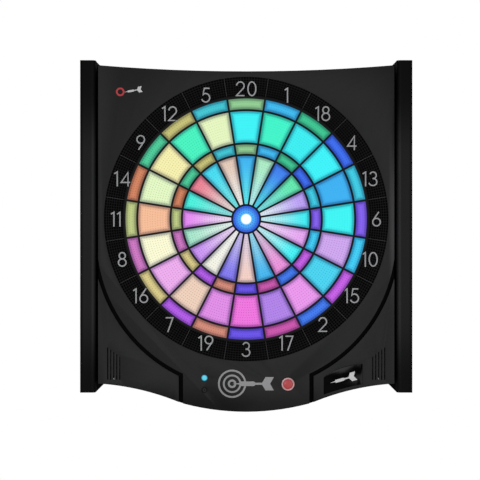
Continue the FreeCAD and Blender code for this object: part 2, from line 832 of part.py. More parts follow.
def make_rear_cover():
    """The back shell: floor, low wall, screw bosses, hanging pocket and vents."""
    blank = plate("rear_blank", 0, s.rear_cover_depth, panel_outline())
    space = plate("rear_space", s.rear_floor, s.rear_cover_depth + 1, panel_outline(s.wall))
    bosses = cylinders("rear_boss", s.boss_radius, 0, flange_out_back, housing_screw_places[:8])
    bosses += cylinders("rear_end_boss", s.boss_radius, 0, s.rear_cover_depth,
                        housing_screw_places[8:])
    half = s.bracket_width / 2 + 5
    pocket_front = hook_front + s.hook_clearance
    pocket_wall = box("pocket_wall", -half - s.wall, half + s.wall, 0, pocket_front + s.wall,
                      s.bracket_base - s.wall - 1, hook_top + s.wall + 3)
    solid = fuse("rear_solid", cut("rear_shell", blank, space), pocket_wall, *bosses)

    window = box("bracket_window", -half, half, -1, s.rear_floor, s.bracket_base - 1, shelf_top)
    pocket = box("hook_pocket", -half, half, s.rear_floor, pocket_front, s.bracket_base - 1,
                 hook_top + 3)
    sides = [box(f"flange_notch_{name}", left, right, flange_out_back,
                 s.rear_cover_depth + 1, pillar_bottom, pillar_top)
             for name, left, right in (("left", -(panel_half + 1), -(flange_inner - 0.5)),
                                       ("right", flange_inner - 0.5, panel_half + 1))]
    holes = cylinders("rear_hole", s.pilot_radius + 0.5, -1, s.rear_cover_depth + 1,
                      housing_screw_places)
    sinks = cylinders("rear_sink", s.screw_head_radius + 0.4, -1, s.screw_head_height + 0.2,
                      housing_screw_places)
    vents = []
    for number in range(9):
        x = (number - 4) * 9
        vents.append(box(f"vent_{number + 1}", x - 1.5, x + 1.5, -1, s.rear_floor + 1,
                         main_board_bottom + 14, main_board_top - 14))
    jack_hole = upright_bar("jack_hole", s.jack_radius + 0.2, 0, s.jack_out,
                            -(chin_bottom + 1), -(chin_bottom - s.wall - 1))
    return cut("rear_cover", solid, window, pocket, *sides, *holes, *sinks, *vents, jack_hole)


# ------------------------------------------------------------------------------- pillars
def pillar_section(inset, length_gap=0):
    """Plan view of a pillar's tube, at (x, y)."""
    gap = inset + length_gap
    left = pillar_inner + gap
    right = pillar_outer - gap
    front = -(pillar_front - gap)
    back = -as_dim(gap)
    inner_round = s.pillar_inner_round - gap
    outer_round = s.pillar_outer_round - gap
    return [
        Corner(left, back),
        Corner(left, front + inner_round, inner_round, 1),
        Corner(left + inner_round, front),
        Corner(right - outer_round, front, outer_round, 1),
        Corner(right, front + outer_round),
        Corner(right, back),
    ]


def make_right_pillar():
    """The right side rail: a tube with a flange that the housing clamps."""
    body = doc.addObject("PartDesign::Body", "pillar_body")
    add_pad(body, "pillar_tube", "XY_Plane", pillar_bottom, pillar_top - pillar_bottom,
            pillar_section(0), pillar_section(s.pillar_wall))
    root_x = pillar_inner + s.pillar_wall / 2
    add_pad(body, "pillar_flange", "XZ_Plane", flange_out_back, s.flange_thickness, [
        Corner(root_x, pillar_bottom),
        Corner(root_x, pillar_top),
        Corner(pillar_inner, pillar_top),
        Corner(flange_inner, pillar_top - s.pillar_flange),
        Corner(flange_inner, pillar_bottom + s.pillar_flange),
        Corner(pillar_inner, pillar_bottom),
    ])
    holes = cylinders("pillar_hole", s.pilot_radius + 0.5, flange_out_back - 1,
                      flange_out_front + 1, [(side_screw_x, z) for z in side_screw_heights])
    return cut("right_pillar", body, *holes)


def make_caps():
    """Plugs in the ends of both pillars."""
    caps = []
    for name, bottom in (("top", pillar_top - s.cap_length), ("bottom", pillar_bottom)):
        body = doc.addObject("PartDesign::Body", f"right_{name}_cap")
        add_pad(body, f"{name}_cap_pad", "XY_Plane", bottom, s.cap_length,
                pillar_section(s.pillar_wall, s.fit_gap))
        caps += [body, mirrored(f"left_{name}_cap", body)]
    return caps


# ------------------------------------------------------------------------------ controls
def make_start_button():
    """The large button: its ring, its cap with a stem, and the spring between them."""
    ring_back = sheet_front - 12
    floor_front = ring_back + 1.5
    bore = s.start_radius + 0.25
    solid = fuse("start_ring_solid",
                 cylinder("start_neck", s.start_neck_radius, ring_back, sheet_front + 1,
                          s.button_x, start_z),
                 cylinder("start_rim", s.start_ring_radius, sheet_front, sheet_front + 2,
                          s.button_x, start_z))
    ring = cut("start_button_ring", solid,
               cylinder("start_bore", bore, floor_front, sheet_front + 3, s.button_x, start_z),
               cylinder("start_stem_hole", s.stem_radius + 0.3, ring_back - 1, floor_front + 1,
                        s.button_x, start_z))
    cap_back = floor_front + s.start_travel * 2
    stem_end = switch_front + s.start_travel + s.layer_gap
    button = fuse("start_button",
                  cylinder("start_cap", s.start_radius, cap_back, sheet_front + s.start_proud,
                           s.button_x, start_z),
                  cylinder("start_stem", s.stem_radius, stem_end, cap_back + 1,
                           s.button_x, start_z))
    return [ring, button, make_spring(floor_front, cap_back)]


def make_spring(back, front):
    """A coil spring round the stem, between the ring's floor and the cap."""
    end_gap = s.spring_wire + 0.1
    turns = 3
    length = front - back - end_gap * 2
    helix = doc.addObject("Part::Helix", "spring_path")
    bind(helix, "Radius", s.spring_radius)
    bind(helix, "Height", length)
    bind(helix, "Pitch", length / turns)
    set_place(helix, s.button_x, -(back + end_gap), start_z, OUTWARD)
    # A ten-sided wire: its flat sides keep their volume in a coarse mesh, as a round one doesn't.
    wire = doc.addObject("Part::RegularPolygon", "spring_wire")
    wire.Polygon = 10
    bind(wire, "Circumradius", s.spring_wire)
    set_place(wire, s.button_x + s.spring_radius, -(back + end_gap), start_z)
    spring = doc.addObject("Part::Sweep", "start_button_spring")
    spring.Sections = [wire]
    spring.Spine = (helix, ["Edge1"])
    spring.Solid = True
    spring.Frenet = True
    return spring


def make_power_button():
    """The small button, held behind the sheet by its flange."""
    flange_out = sheet_back - s.layer_gap
    flange_base = flange_out - 1.5
    x = -s.button_x
    return fuse("power_button",
                cylinder("power_cap", s.power_radius, flange_base, sheet_front + s.power_proud,
                         x, power_z),
                cylinder("power_flange", s.power_radius + 1.5, flange_base, flange_out, x, power_z),
                cylinder("power_stem", s.stem_radius,
                         switch_front + s.power_travel + s.layer_gap, flange_out, x, power_z))


def make_status_light():
    """The lens of the status light, with the light pipe behind it."""
    flange_out = sheet_back - s.layer_gap
    x = -s.button_x
    return fuse("status_light",
                cylinder("light_lens", s.light_radius, flange_out - 1.5, sheet_front + 0.6,
                         x, light_z),
                cylinder("light_flange", s.light_radius + 1.2, flange_out - 1.5, flange_out,
                         x, light_z),
                cylinder("light_pipe", s.light_radius - 2, button_board_front + 2.5, flange_out,
                         x, light_z))


def make_button_board():
    """The board behind the buttons, and what is soldered to it."""
    plain = box("button_board_plain", -button_board_half, button_board_half, button_board_back,
                button_board_front, button_board_bottom, button_board_top)
    holes = cylinders("button_board_hole", s.screw_radius + 0.4, button_board_back - 1,
                      button_board_front + 1, button_board_screws)
    board = cut("button_board", plain, *holes)
    half = s.switch_width / 2
    parts = [box(f"{name}_switch", x - half, x + half, button_board_front, switch_front,
                 z - half, z + half)
             for name, x, z in (("start", s.button_x, start_z), ("power", -s.button_x, power_z))]
    parts.append(box("status_led", -s.button_x - 1.5, -s.button_x + 1.5, button_board_front,
                     button_board_front + 1.5, light_z - 1.5, light_z + 1.5))
    parts.append(box("button_connector", button_lead_x - 5, button_lead_x + 5,
                     button_board_back - 4.5, button_board_back,
                     button_board_middle - 2.5, button_board_middle + 2.5))
    return [board, group("button_board_parts", parts)]


# ----------------------------------------------------------------- electronics and sound
def make_main_board():
    """The main board behind the backing plate, and what is soldered to its back."""
    half = s.main_board_width / 2
    plain = box("main_board_plain", -half, half, main_board_back, main_board_front,
                main_board_bottom, main_board_top)
    holes = cylinders("main_board_hole", s.screw_radius + 0.4, main_board_back - 1,
                      main_board_front + 1, main_board_screws)
    board = cut("main_board", plain, *holes)
    middle = main_board_middle

    def chip(name, x, z, width, height, thickness):
        """A block soldered to the back of the board, from its middle and size."""
        return box(name, x - width / 2, x + width / 2, main_board_back - thickness,
                   main_board_back, z - as_dim(height) / 2, z + as_dim(height) / 2)

    parts = [
        chip("processor", -12, middle + 6, 22, 22, 2.4),
        chip("memory", 16, middle + 8, 12, 16, 1.6),
        chip("amplifier", 40, middle + 16, 10, 10, 1.8),
        chip("power_plug", power_lead_x, middle - 26, 12, 6, tall_part),
        chip("button_plug", button_lead_x, middle - 26, 10, 6, tall_part),
        chip("left_sound_plug", left_sound_x, middle - 26, 8, 6, tall_part - 1),
        chip("right_sound_plug", right_sound_x, middle - 26, 8, 6, tall_part - 1),
        chip("ribbon_socket", 0, ribbon_end + 2.5, s.ribbon_width + 4, 5, 4),
    ]
    parts += cylinders("capacitor", 3.5, main_board_back - tall_part, main_board_back,
                       [(-42, middle + 18), (-42, middle + 6), (40, middle - 2)])
    return [board, group("main_board_parts", parts)]


def make_ribbon():
    """The flat cable from the contact membrane, round under the stack, to the main board."""
    thick = s.ribbon_thickness
    inner_bend = as_dim(3.0)
    outer_bend = inner_bend + thick
    start = -(stack_radius + 0.1)
    low = -(shelf_radius + 4)
    front = -(guide_front + s.membrane / 2 + thick / 2)
    back = -(main_board_back - 2 - thick / 2)
    body = doc.addObject("PartDesign::Body", "matrix_ribbon")
    add_pad(body, "ribbon_pad", "YZ_Plane", -s.ribbon_width / 2, s.ribbon_width, [
        Corner(front, start),
        Corner(front, low + outer_bend, outer_bend, 1),
        Corner(front + outer_bend, low),
        Corner(back - outer_bend, low, outer_bend, 1),
        Corner(back, low + outer_bend),
        Corner(back, ribbon_end),
        Corner(back - thick, ribbon_end),
        Corner(back - thick, low + outer_bend, inner_bend, -1),
        Corner(back - outer_bend, low + thick),
        Corner(front + outer_bend, low + thick, inner_bend, -1),
        Corner(front + thick, low + outer_bend),
        Corner(front + thick, start),
    ])
    return body


def make_lead(name, points):
    """A round lead along straight runs, at (x, out, z), joined by tangent bends."""
    corners = [Vector(as_dim(x).value, -as_dim(out).value, as_dim(z).value)
               for x, out, z in points]
    bend = s.lead_bend.value
    edges = []
    start = corners[0]
    for before, corner, after in zip(corners, corners[1:], corners[2:]):
        back = (before - corner).normalize()
        onward = (after - corner).normalize()
        arrive = corner + back * bend
        leave = corner + onward * bend
        middle = corner + (back + onward) * bend * (1 - math.sin(math.radians(45)))
        edges += [Part.LineSegment(start, arrive).toShape(),
                  Part.Arc(arrive, middle, leave).toShape()]
        start = leave
    edges.append(Part.LineSegment(start, corners[-1]).toShape())
    ring = Part.Wire([Part.makeCircle(s.lead_radius.value, corners[0], corners[1] - corners[0])])
    lead = doc.addObject("Part::Feature", name)
    lead.Shape = Part.Wire(edges).makePipeShell([ring], True, False)
    return lead


def make_leads():
    """The leads from both speakers, the button board and the power socket to the main board."""
    sound_z = speaker_z
    magnet_back = recess_back - s.speaker_depth
    inlet_top = -(chin_bottom - s.wall - s.layer_gap) + s.jack_length
    return group("internal_leads", [
        make_lead("left_sound_lead", [
            (-speaker_x, magnet_back, sound_z), (-speaker_x, sound_lead_out, sound_z),
            (left_sound_x, sound_lead_out, sound_z), (left_sound_x, sound_lead_out, plug_bottom)]),
        make_lead("right_sound_lead", [
            (speaker_x, magnet_back, sound_z), (speaker_x, sound_lead_out, sound_z),
            (right_sound_x, sound_lead_out, sound_z), (right_sound_x, sound_lead_out, plug_bottom)]),
        make_lead("button_lead", [
            (button_lead_x, button_board_back - 4.5, button_board_middle),
            (button_lead_x, low_lead_out, button_board_middle),
            (button_lead_x, low_lead_out, plug_bottom)]),
        make_lead("power_lead", [
            (0, low_lead_out, inlet_top), (0, low_lead_out, inlet_top + 18),
            (power_lead_x, low_lead_out, inlet_top + 18), (power_lead_x, low_lead_out, plug_bottom)]),
    ])


def make_speakers():
    """A flat speaker behind each set of slots."""
    half = s.speaker_width / 2
    tall = s.speaker_length / 2
    plate_back = recess_back - 1.5
    magnet_front = recess_back - s.speaker_depth / 2
    plate_box = box("speaker_plate", speaker_x - half, speaker_x + half, plate_back,
                    recess_back, speaker_z - tall, speaker_z + tall)
    basket = box("speaker_basket", speaker_x - half + 2, speaker_x + half - 2, magnet_front,
                 plate_back, speaker_z - tall + 7, speaker_z + tall - 7)
    magnet = cylinder("speaker_magnet", half - 5, recess_back - s.speaker_depth, magnet_front,
                      speaker_x, speaker_z)
    mouth = box("speaker_mouth", speaker_x - half + 3.5, speaker_x + half - 3.5,
                magnet_front + 2, recess_back + 1, speaker_z - tall + 8.5, speaker_z + tall - 8.5)
    holes = cylinders("speaker_hole", s.screw_radius + 0.4, plate_back - 1, recess_back + 1,
                      speaker_screw_places())
    right = cut("right_speaker", fuse("speaker_solid", plate_box, basket, magnet), mouth, *holes)
    return [right, mirrored("left_speaker", right)]


def make_dc_inlet():
    """The power socket in the bottom wall, with a barrel bore and its centre pin."""
    end = -(chin_bottom - s.fit_gap)
    seat = -(chin_bottom - s.wall - s.layer_gap)
    top = seat + s.jack_length
    body = box("jack_body", -4.5, 4.5, s.jack_out - s.jack_half, s.jack_out + s.jack_half, seat, top)
    nose = upright_bar("jack_nose", s.jack_radius, 0, s.jack_out, end, seat + 1)
    bore = upright_bar("jack_bore", 2.75, 0, s.jack_out, end - 1, top - 3)
    pin = upright_bar("jack_pin", 1.0, 0, s.jack_out, end + 1, top - 2)
    return fuse("dc_inlet", cut("jack_shell", fuse("jack_solid", body, nose), bore), pin)


def make_wall_bracket():
    """The steel bracket on the wall: plate, shelf and upstanding hook."""
    half = s.bracket_width / 2
    base = s.bracket_base
    solid = fuse("bracket_solid",
                 box("bracket_back", -half, half, 0, s.bracket_plate, base, shelf_top),
                 box("bracket_shelf", -half, half, 0, hook_front, shelf_top - s.bracket_plate,
                     shelf_top),
                 box("bracket_hook", -half, half, hook_back, hook_front, shelf_top - 1, hook_top))
    holes = cylinders("bracket_hole", s.wall_hole_radius, -1, s.bracket_plate + 1, [
        (i * s.wall_hole_spacing_x / 2, base + s.bracket_height / 2 + k * s.wall_hole_spacing_z / 2)
        for i in (-1, 1) for k in (-1, 1)])
    return cut("wall_bracket", solid, *holes)


# ------------------------------------------------------------------------------- screws
def make_screws(name, seat, shaft_radius, length, places):
    """Pan-head screws driven from the back, each with its head against the seat."""
    screws = []
    for number, (x, z) in enumerate(places, start=1):
        head = cylinder(f"{name}_head_{number}", s.screw_head_radius, seat - s.screw_head_height,
                        seat, x, z)
        shaft = cylinder(f"{name}_shaft_{number}", shaft_radius, seat, seat + length, x, z)
        screws.append(fuse(f"{name}_{number}", head, shaft))
    return screws


def make_all_screws():
    """Every screw, identical ones together in one node."""
    target = make_screws("target_screw", backing_back, s.screw_radius, s.screw_length + 5,
                         ring_boss_places + corner_boss_places)
    housing = make_screws("housing_screw", s.screw_head_height + s.fit_gap,
                          s.housing_screw_radius, s.housing_screw_length, housing_screw_places)
    cover_places = cover_boss_places()
    speaker_places = speaker_screw_places()
    corner = []
    for side in (-1, 1):
        corner += make_screws(f"cover_screw_{side + 2}", recess_back, s.screw_radius,
                              s.screw_length, [(side * x, z) for x, z in cover_places])
        corner += make_screws(f"speaker_screw_{side + 2}", recess_back - 1.5, s.screw_radius,
                              s.screw_length, [(side * x, z) for x, z in speaker_places])
    board = make_screws("main_board_screw", main_board_back, s.screw_radius,
                        s.screw_length - 1, main_board_screws)
    board += make_screws("button_board_screw", button_board_back, s.screw_radius,
                         s.screw_length - 1, button_board_screws)
    return [group("target_screws", target), group("housing_screws", housing),
            group("corner_screws", corner), group("board_screws", board)]


# ------------------------------------------------------------------------------- export
def check(pieces):
    """Stop if any object failed or any piece has no sound shape."""
    failed = [item.Name for item in doc.Objects if {"Invalid", "Error"} & set(item.State)]
    if failed:
        raise RuntimeError(f"objects that failed: {failed}")
    for piece in pieces:
        if piece.Shape.isNull() or not piece.Shape.isValid() or not piece.Shape.Solids:
            raise RuntimeError(f"no sound solid in {piece.Label}")


def make_pieces():
    """Every piece of the cabinet, in the order of the parts list."""
    right_pillar = make_right_pillar()
    return [
        make_front_bezel(),
        *make_corner_covers(),
        right_pillar,
        mirrored("left_pillar", right_pillar),
        *make_caps(),
        make_rear_cover(),
        make_wall_bracket(),
        make_number_ring(),
        make_spider(),
        *make_segments(),
        *make_bulls(),
        *make_layers(),
        make_leds(),
        make_backing_plate(),
        *make_main_board(),
        make_ribbon(),
        *make_speakers(),
        make_leads(),
        *make_start_button(),
        make_power_button(),
        make_status_light(),
        *make_button_board(),
        make_dc_inlet(),
        *make_all_screws(),
    ]


pieces = make_pieces()
doc.recompute()
check(pieces)
os.makedirs("parts", exist_ok=True)
for piece in pieces:
    piece.Shape.exportStep(f"parts/{piece.Label}.step")
print(f"{len(pieces)} pieces written")
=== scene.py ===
"""The looks of an electronic dartboard cabinet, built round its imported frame.

Each sub-assembly is a class that makes its meshes and dresses them. Everything is in
metres: +X to the right, +Z up, and -Y out of the wall towards the player.
"""
import logging
import math
from collections.abc import Callable, Iterable, Sequence
from dataclasses import dataclass, field
from enum import Enum
from typing import Any

import bmesh
import bpy
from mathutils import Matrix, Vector
from mathutils.geometry import delaunay_2d_cdt


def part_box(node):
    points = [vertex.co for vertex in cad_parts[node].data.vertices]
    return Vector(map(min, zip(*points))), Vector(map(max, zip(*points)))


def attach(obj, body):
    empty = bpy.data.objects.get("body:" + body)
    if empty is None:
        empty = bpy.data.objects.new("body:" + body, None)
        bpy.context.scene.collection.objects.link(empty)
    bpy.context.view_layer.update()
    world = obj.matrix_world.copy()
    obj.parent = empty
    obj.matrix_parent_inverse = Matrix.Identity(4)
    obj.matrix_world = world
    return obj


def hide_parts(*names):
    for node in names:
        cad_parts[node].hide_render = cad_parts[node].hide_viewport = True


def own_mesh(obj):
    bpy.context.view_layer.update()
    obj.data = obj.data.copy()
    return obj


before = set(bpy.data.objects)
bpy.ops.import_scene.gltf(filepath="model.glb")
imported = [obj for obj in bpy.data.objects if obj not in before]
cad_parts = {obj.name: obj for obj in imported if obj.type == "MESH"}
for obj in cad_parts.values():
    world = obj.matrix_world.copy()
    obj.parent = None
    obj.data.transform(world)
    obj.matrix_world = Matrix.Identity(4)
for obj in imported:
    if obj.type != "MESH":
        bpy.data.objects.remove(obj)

LOG = logging.getLogger("dartboard")
MM = 0.001
LAP = 0.1 * MM                      # how far a made front and its back reach into each other
WELD = 1e-6                         # corners nearer than this are one
CREASE = math.radians(35)           # a sharper edge of a round piece stays sharp
WEDGE = math.tau / 20               # the angle of one number on the board
DISH_INNER = (200.5 * MM, 48.0 * MM)  # radius and height of the catch ring's inner edge
DISH_OUTER = (232.2 * MM, 52.8 * MM)  # and of its outer edge
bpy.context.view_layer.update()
ROOT_BODY = "cabinet"
Colour = tuple[float, float, float]
Point = tuple[float, float]


# --------------------------------------------------------------------- numbers and colours
class Number(Enum):
    """The numbers of the board, clockwise from the top, with the colours of their beds.

    Each value holds the number's place, then the colours of its double and triple, of its
    outer single, and of its inner single at the wide end and at the narrow end.
    """

    TWENTY = (0, "20", "8ccd8d", "06f6fa", "0cb4f3", "50eff6")
    ONE = (1, "1", "0fb9f1", "18f8ca", "a8ecc2", "b2f3f2")
    EIGHTEEN = (2, "18", "0bc58c", "02f1f4", "1278f2", "3bd9ed")
    FOUR = (3, "4", "0861f1", "05f7fd", "51eaaa", "72e1e4")
    THIRTEEN = (4, "13", "07cce5", "07b0f6", "b899f6", "e6f4fb")
    SIX = (5, "6", "7c50f1", "07f9f8", "0feff5", "c8f6fb")
    TEN = (6, "10", "0dcdf8", "cda2f0", "e8a2f3", "eedcf8")
    FIFTEEN = (7, "15", "c64ee8", "28d3f1", "0ef3f7", "bff4f8")
    TWO = (8, "2", "146fef", "ec92ee", "ec8bdc", "d4c0db")
    SEVENTEEN = (9, "17", "ca41a9", "ae7aea", "1eb4f0", "92dcf2")
    THREE = (10, "3", "5c3dea", "f169df", "f5d0c4", "e3d3e6")
    NINETEEN = (11, "19", "d3836d", "e186e7", "786ef0", "cabff3")
    SEVEN = (12, "7", "ae46e7", "efcfb8", "f5f4e5", "f8f8f4")
    SIXTEEN = (13, "16", "d8c87d", "eea8ee", "c88cf3", "eed8f7")
    EIGHT = (14, "8", "cb69be", "fcfbd3", "a0e6c8", "eafaf4")
    ELEVEN = (15, "11", "bbca7a", "f8ba91", "e782f4", "f6e6fa")
    FOURTEEN = (16, "14", "d07748", "e2f8c0", "1ff2dc", "8ae3e3")
    NINE = (17, "9", "27c990", "f7f0a9", "eb778c", "e8dbd6")
    TWELVE = (18, "12", "c4be6a", "21f5be", "1adcf3", "6deae9")
    FIVE = (19, "5", "11c5d3", "e7f9bf", "e4c8b4", "f4f4ee")

    @property
    def place(self) -> int:
        """Steps clockwise from the top."""
        return self.value[0]

    @property
    def text(self) -> str:
        """The number as it is written on the ring."""
        return self.value[1]

    @property
    def angle(self) -> float:
        """Angle clockwise from the top, in radians."""
        return self.place * WEDGE


def linear(code: str) -> Colour:
    """Turn a screen colour into light.

    Args:
        code: Six hexadecimal digits.

    Returns:
        Red, green and blue from 0 to 1, in proportion to light.
    """
    levels = [int(code[place:place + 2], 16) / 255 for place in (0, 2, 4)]
    return tuple(v / 12.92 if v <= 0.04045 else ((v + 0.055) / 1.055) ** 2.4 for v in levels)


def dimmed(colour: Colour, share: float) -> Colour:
    """The same colour with a share of its light."""
    return tuple(level * share for level in colour)


# ------------------------------------------------------------------------------ node trees
class Signal:
    """A number on a socket of a node tree, with the usual arithmetic."""

    def __init__(self, sheet: "Sheet", socket: bpy.types.NodeSocket) -> None:
        """Keep the tree and the socket."""
        self.sheet = sheet
        self.socket = socket

    def join(self, operation: str, *others: Any) -> "Signal":
        """Add a Math node.

        Args:
            operation: The Math node's operation.
            others: Its second and third values.

        Returns:
            The result.
        """
        values = dict(enumerate((self, *others)))
        node = self.sheet.node("ShaderNodeMath", {"operation": operation}, values)
        return Signal(self.sheet, node.outputs[0])

    def __add__(self, other: Any) -> "Signal":
        """Sum."""
        return self.join("ADD", other)

    def __sub__(self, other: Any) -> "Signal":
        """Difference."""
        return self.join("SUBTRACT", other)

    def __rsub__(self, other: Any) -> "Signal":
        """Difference, from the right."""
        return self.join("MULTIPLY_ADD", -1.0, other)

    def __mul__(self, other: Any) -> "Signal":
        """Product."""
        return self.join("MULTIPLY", other)

    def __truediv__(self, other: Any) -> "Signal":
        """Quotient."""
        return self.join("DIVIDE", other)

    def __pow__(self, other: Any) -> "Signal":
        """Power."""
        return self.join("POWER", other)

    def __abs__(self) -> "Signal":
        """Size without sign."""
        return self.join("ABSOLUTE")

    __radd__ = __add__
    __rmul__ = __mul__

    def least(self, other: Any) -> "Signal":
        """The smaller of two."""
        return self.join("MINIMUM", other)

    def ramp(self, low: float, high: float) -> "Signal":
        """Smooth rise from 0 at low to 1 at high."""
        node = self.sheet.node("ShaderNodeMapRange", {"interpolation_type": "SMOOTHSTEP"},
                               {"Value": self, "From Min": low, "From Max": high})
        return Signal(self.sheet, node.outputs[0])


class Sheet:
    """A node tree that is filled through one method."""

    def __init__(self, tree: bpy.types.NodeTree) -> None:
        """Keep the tree."""
        self.tree = tree

    def node(self, kind: str, settings: dict[str, Any] | None = None,
             values: dict[Any, Any] | None = None) -> bpy.types.Node:
        """Add a node.

        Args:
            kind: The node's type.
            settings: Its properties, which are set first.
            values: A value or a link for each of its sockets, by name or number.

        Returns:
            The node.
        """
        made = self.tree.nodes.new(kind)
        for name, value in (settings or {}).items():
            setattr(made, name, value)
        for key, value in (values or {}).items():
            found = made.inputs[key] if isinstance(key, int) else next(
                socket for socket in made.inputs if socket.name == key and socket.enabled)
            self.feed(found, value)
        return made

    def feed(self, socket: bpy.types.NodeSocket, value: Any) -> None:
        """Give a socket a link or a value.

        Args:
            socket: The socket.
            value: A signal, another socket, a colour or a plain value.
        """
        if isinstance(value, Signal):
            self.tree.links.new(value.socket, socket)
        elif isinstance(value, bpy.types.NodeSocket):
            self.tree.links.new(value, socket)
        elif isinstance(value, tuple) and len(value) == 3 and socket.type == "RGBA":
            socket.default_value = (*value, 1.0)
        else:
            socket.default_value = value

    def parts(self, vector: bpy.types.NodeSocket) -> tuple[Signal, Signal, Signal]:
        """The three numbers of a vector."""
        node = self.node("ShaderNodeSeparateXYZ", values={0: vector})
        return tuple(Signal(self, socket) for socket in node.outputs)


class Paint(Sheet):
    """The node tree of one material."""

    def __init__(self, name: str) -> None:
        """Start a material with the usual surface shader.

        Args:
            name: The material's name.
        """
        self.material = bpy.data.materials.new(name)
        self.material.use_nodes = True
        super().__init__(self.material.node_tree)
        self.surface = self.tree.nodes["Principled BSDF"]

    def place(self) -> bpy.types.NodeSocket:
        """Where a point is on the object."""
        return self.node("ShaderNodeTexCoord").outputs["Object"]

    def noise(self, size: float, detail: float = 2.0,
              stretch: tuple[float, float, float] = (1, 1, 1)) -> Signal:
        """Smooth random variation.

        Args:
            size: The usual width of a blotch, in metres.
            detail: How many finer layers it has.
            stretch: Scale along each axis.

        Returns:
            A number round 0.5.
        """
        mapped = self.node("ShaderNodeMapping", values={"Vector": self.place(), "Scale": stretch})
        node = self.node("ShaderNodeTexNoise", values={
            "Vector": mapped.outputs[0], "Scale": 1 / size, "Detail": detail})
        return Signal(self, node.outputs[0])

    def blend(self, share: Signal, first: Any, second: Any) -> bpy.types.NodeSocket:
        """Colour that goes from the first to the second."""
        return self.node("ShaderNodeMix", {"data_type": "RGBA"},
                         {0: share, 6: first, 7: second}).outputs[2]

    def tinted(self, colour: Any, tint: Colour) -> bpy.types.NodeSocket:
        """A colour multiplied by another."""
        return self.node("ShaderNodeMix", {"data_type": "RGBA", "blend_type": "MULTIPLY"},
                         {0: 1.0, 6: colour, 7: tint}).outputs[2]

    def scaled(self, code: str, share: Signal) -> bpy.types.NodeSocket:
        """A colour times a share that changes over the surface."""
        return self.node("ShaderNodeVectorMath", {"operation": "SCALE"},
                         {0: linear(code), "Scale": share}).outputs[0]

    def relief(self, height: Signal, depth: float) -> bpy.types.NodeSocket:
        """Surface direction for a height from 0 to 1, with a depth in metres."""
        return self.node("ShaderNodeBump", values={
            "Height": height, "Distance": depth, "Strength": 1.0}).outputs[0]

    def dress(self, shine: float = 0.5, **values: Any) -> bpy.types.Material:
        """Set the surface's sockets.

        Args:
            shine: How strongly it mirrors; 0.5 is usual.
            values: A value or a link for each socket.

        Returns:
            The material.
        """
        self.surface.inputs["Specular IOR Level"].default_value = shine
        for name, value in values.items():
            self.feed(self.surface.inputs[name.replace("_", " ").title()], value)
        return self.material


# -------------------------------------------------------------------------------- finishes
@dataclass(frozen=True)
class MouldedPlastic:
    """Plastic with the fine grain of a textured mould."""

    name: str
    colour: str
    roughness: float = 0.5
    grain: float = 0.5 * MM
    depth: float = 0.03 * MM
    shine: float = 0.35

    def make(self) -> bpy.types.Material:
        """Build the material.

        Returns:
            The material.
        """
        paint = Paint(self.name)
        base = linear(self.colour)
        grain = paint.noise(self.grain, 1.0)
        cloud = paint.noise(60 * MM, 3.0)
        return paint.dress(
            self.shine,
            base_color=paint.blend(cloud.ramp(0.3, 0.7), dimmed(base, 0.92), dimmed(base, 1.08)),
            roughness=self.roughness - 0.05 + 0.1 * grain,
            normal=paint.relief(grain, self.depth))


class Shade(Enum):
    """Which painted highlights and painted shade a large moulding's colour gets."""

    PANEL = "panel"
    RAIL = "rail"


@dataclass(frozen=True)
class CasePlastic:
    """Black moulded plastic of the outer case, whose black is not the same all over: it varies at
    random, and carries painted highlights and painted shade.
    """

    name: str
    colour: str
    shade: Shade
    roughness: float = 0.55
    shine: float = 0.25
    # where the painted highlights and painted shade fall on the pillars, the chin and the panel's
    # right edge
    pillar_glint: float = 249 * MM
    pillar_side: Point = (263.5 * MM, 268.5 * MM)
    pillar_middle: float = -28 * MM
    chin: Point = (-306 * MM, -262 * MM)
    # the band across which the painted highlight on the panel's right edge rises
    panel_edge: Point = (231 * MM, 238 * MM)

    def tone(self, paint: Paint) -> Signal:
        """How pale the plastic is at each place, with its painted highlights and painted shade.

        Args:
            paint: The material's node tree.

        Returns:
            A share of the colour.
        """
        x, _, z = paint.parts(paint.place())
        if self.shade is Shade.RAIL:
            # painted highlight along the inner rounded edge of each pillar
            inner = 1.0 - abs(abs(x) - self.pillar_glint).ramp(0.3 * MM, 3.6 * MM)
            # painted shade on the outer rounded edge of each pillar
            outer = 1.0 - abs(x).ramp(*self.pillar_side)
            # painted shade: each pillar darker towards its top and bottom, lightest near its
            # middle
            ends = 1.0 - abs(z - self.pillar_middle).ramp(120 * MM, 235 * MM) * 0.85
            return (outer * 0.92 + 0.08 + inner * 1.3) * ends
        # painted shade: the panel darker towards the bottom of the chin
        chin = z.ramp(*self.chin) * 0.8 + 0.2
        # painted highlight down the right edge of the panel, strongest at mid-height
        edge = x.ramp(*self.panel_edge) * (1.0 - abs(z + 5 * MM).ramp(20 * MM, 160 * MM))
        return chin * (edge * 3.4 + 1.0)

    def make(self) -> bpy.types.Material:
        """Build the material.

        Returns:
            The material.
        """
        paint = Paint(self.name)
        grain = paint.noise(0.5 * MM, 1.0)
        cloud = paint.noise(60 * MM, 3.0)
        # random variation times the painted highlights and painted shade
        tone = self.tone(paint) * (cloud * 0.3 + 0.85)
        return paint.dress(self.shine, base_color=paint.scaled(self.colour, tone),
                           roughness=self.roughness - 0.05 + 0.1 * grain,
                           normal=paint.relief(grain, 0.03 * MM))


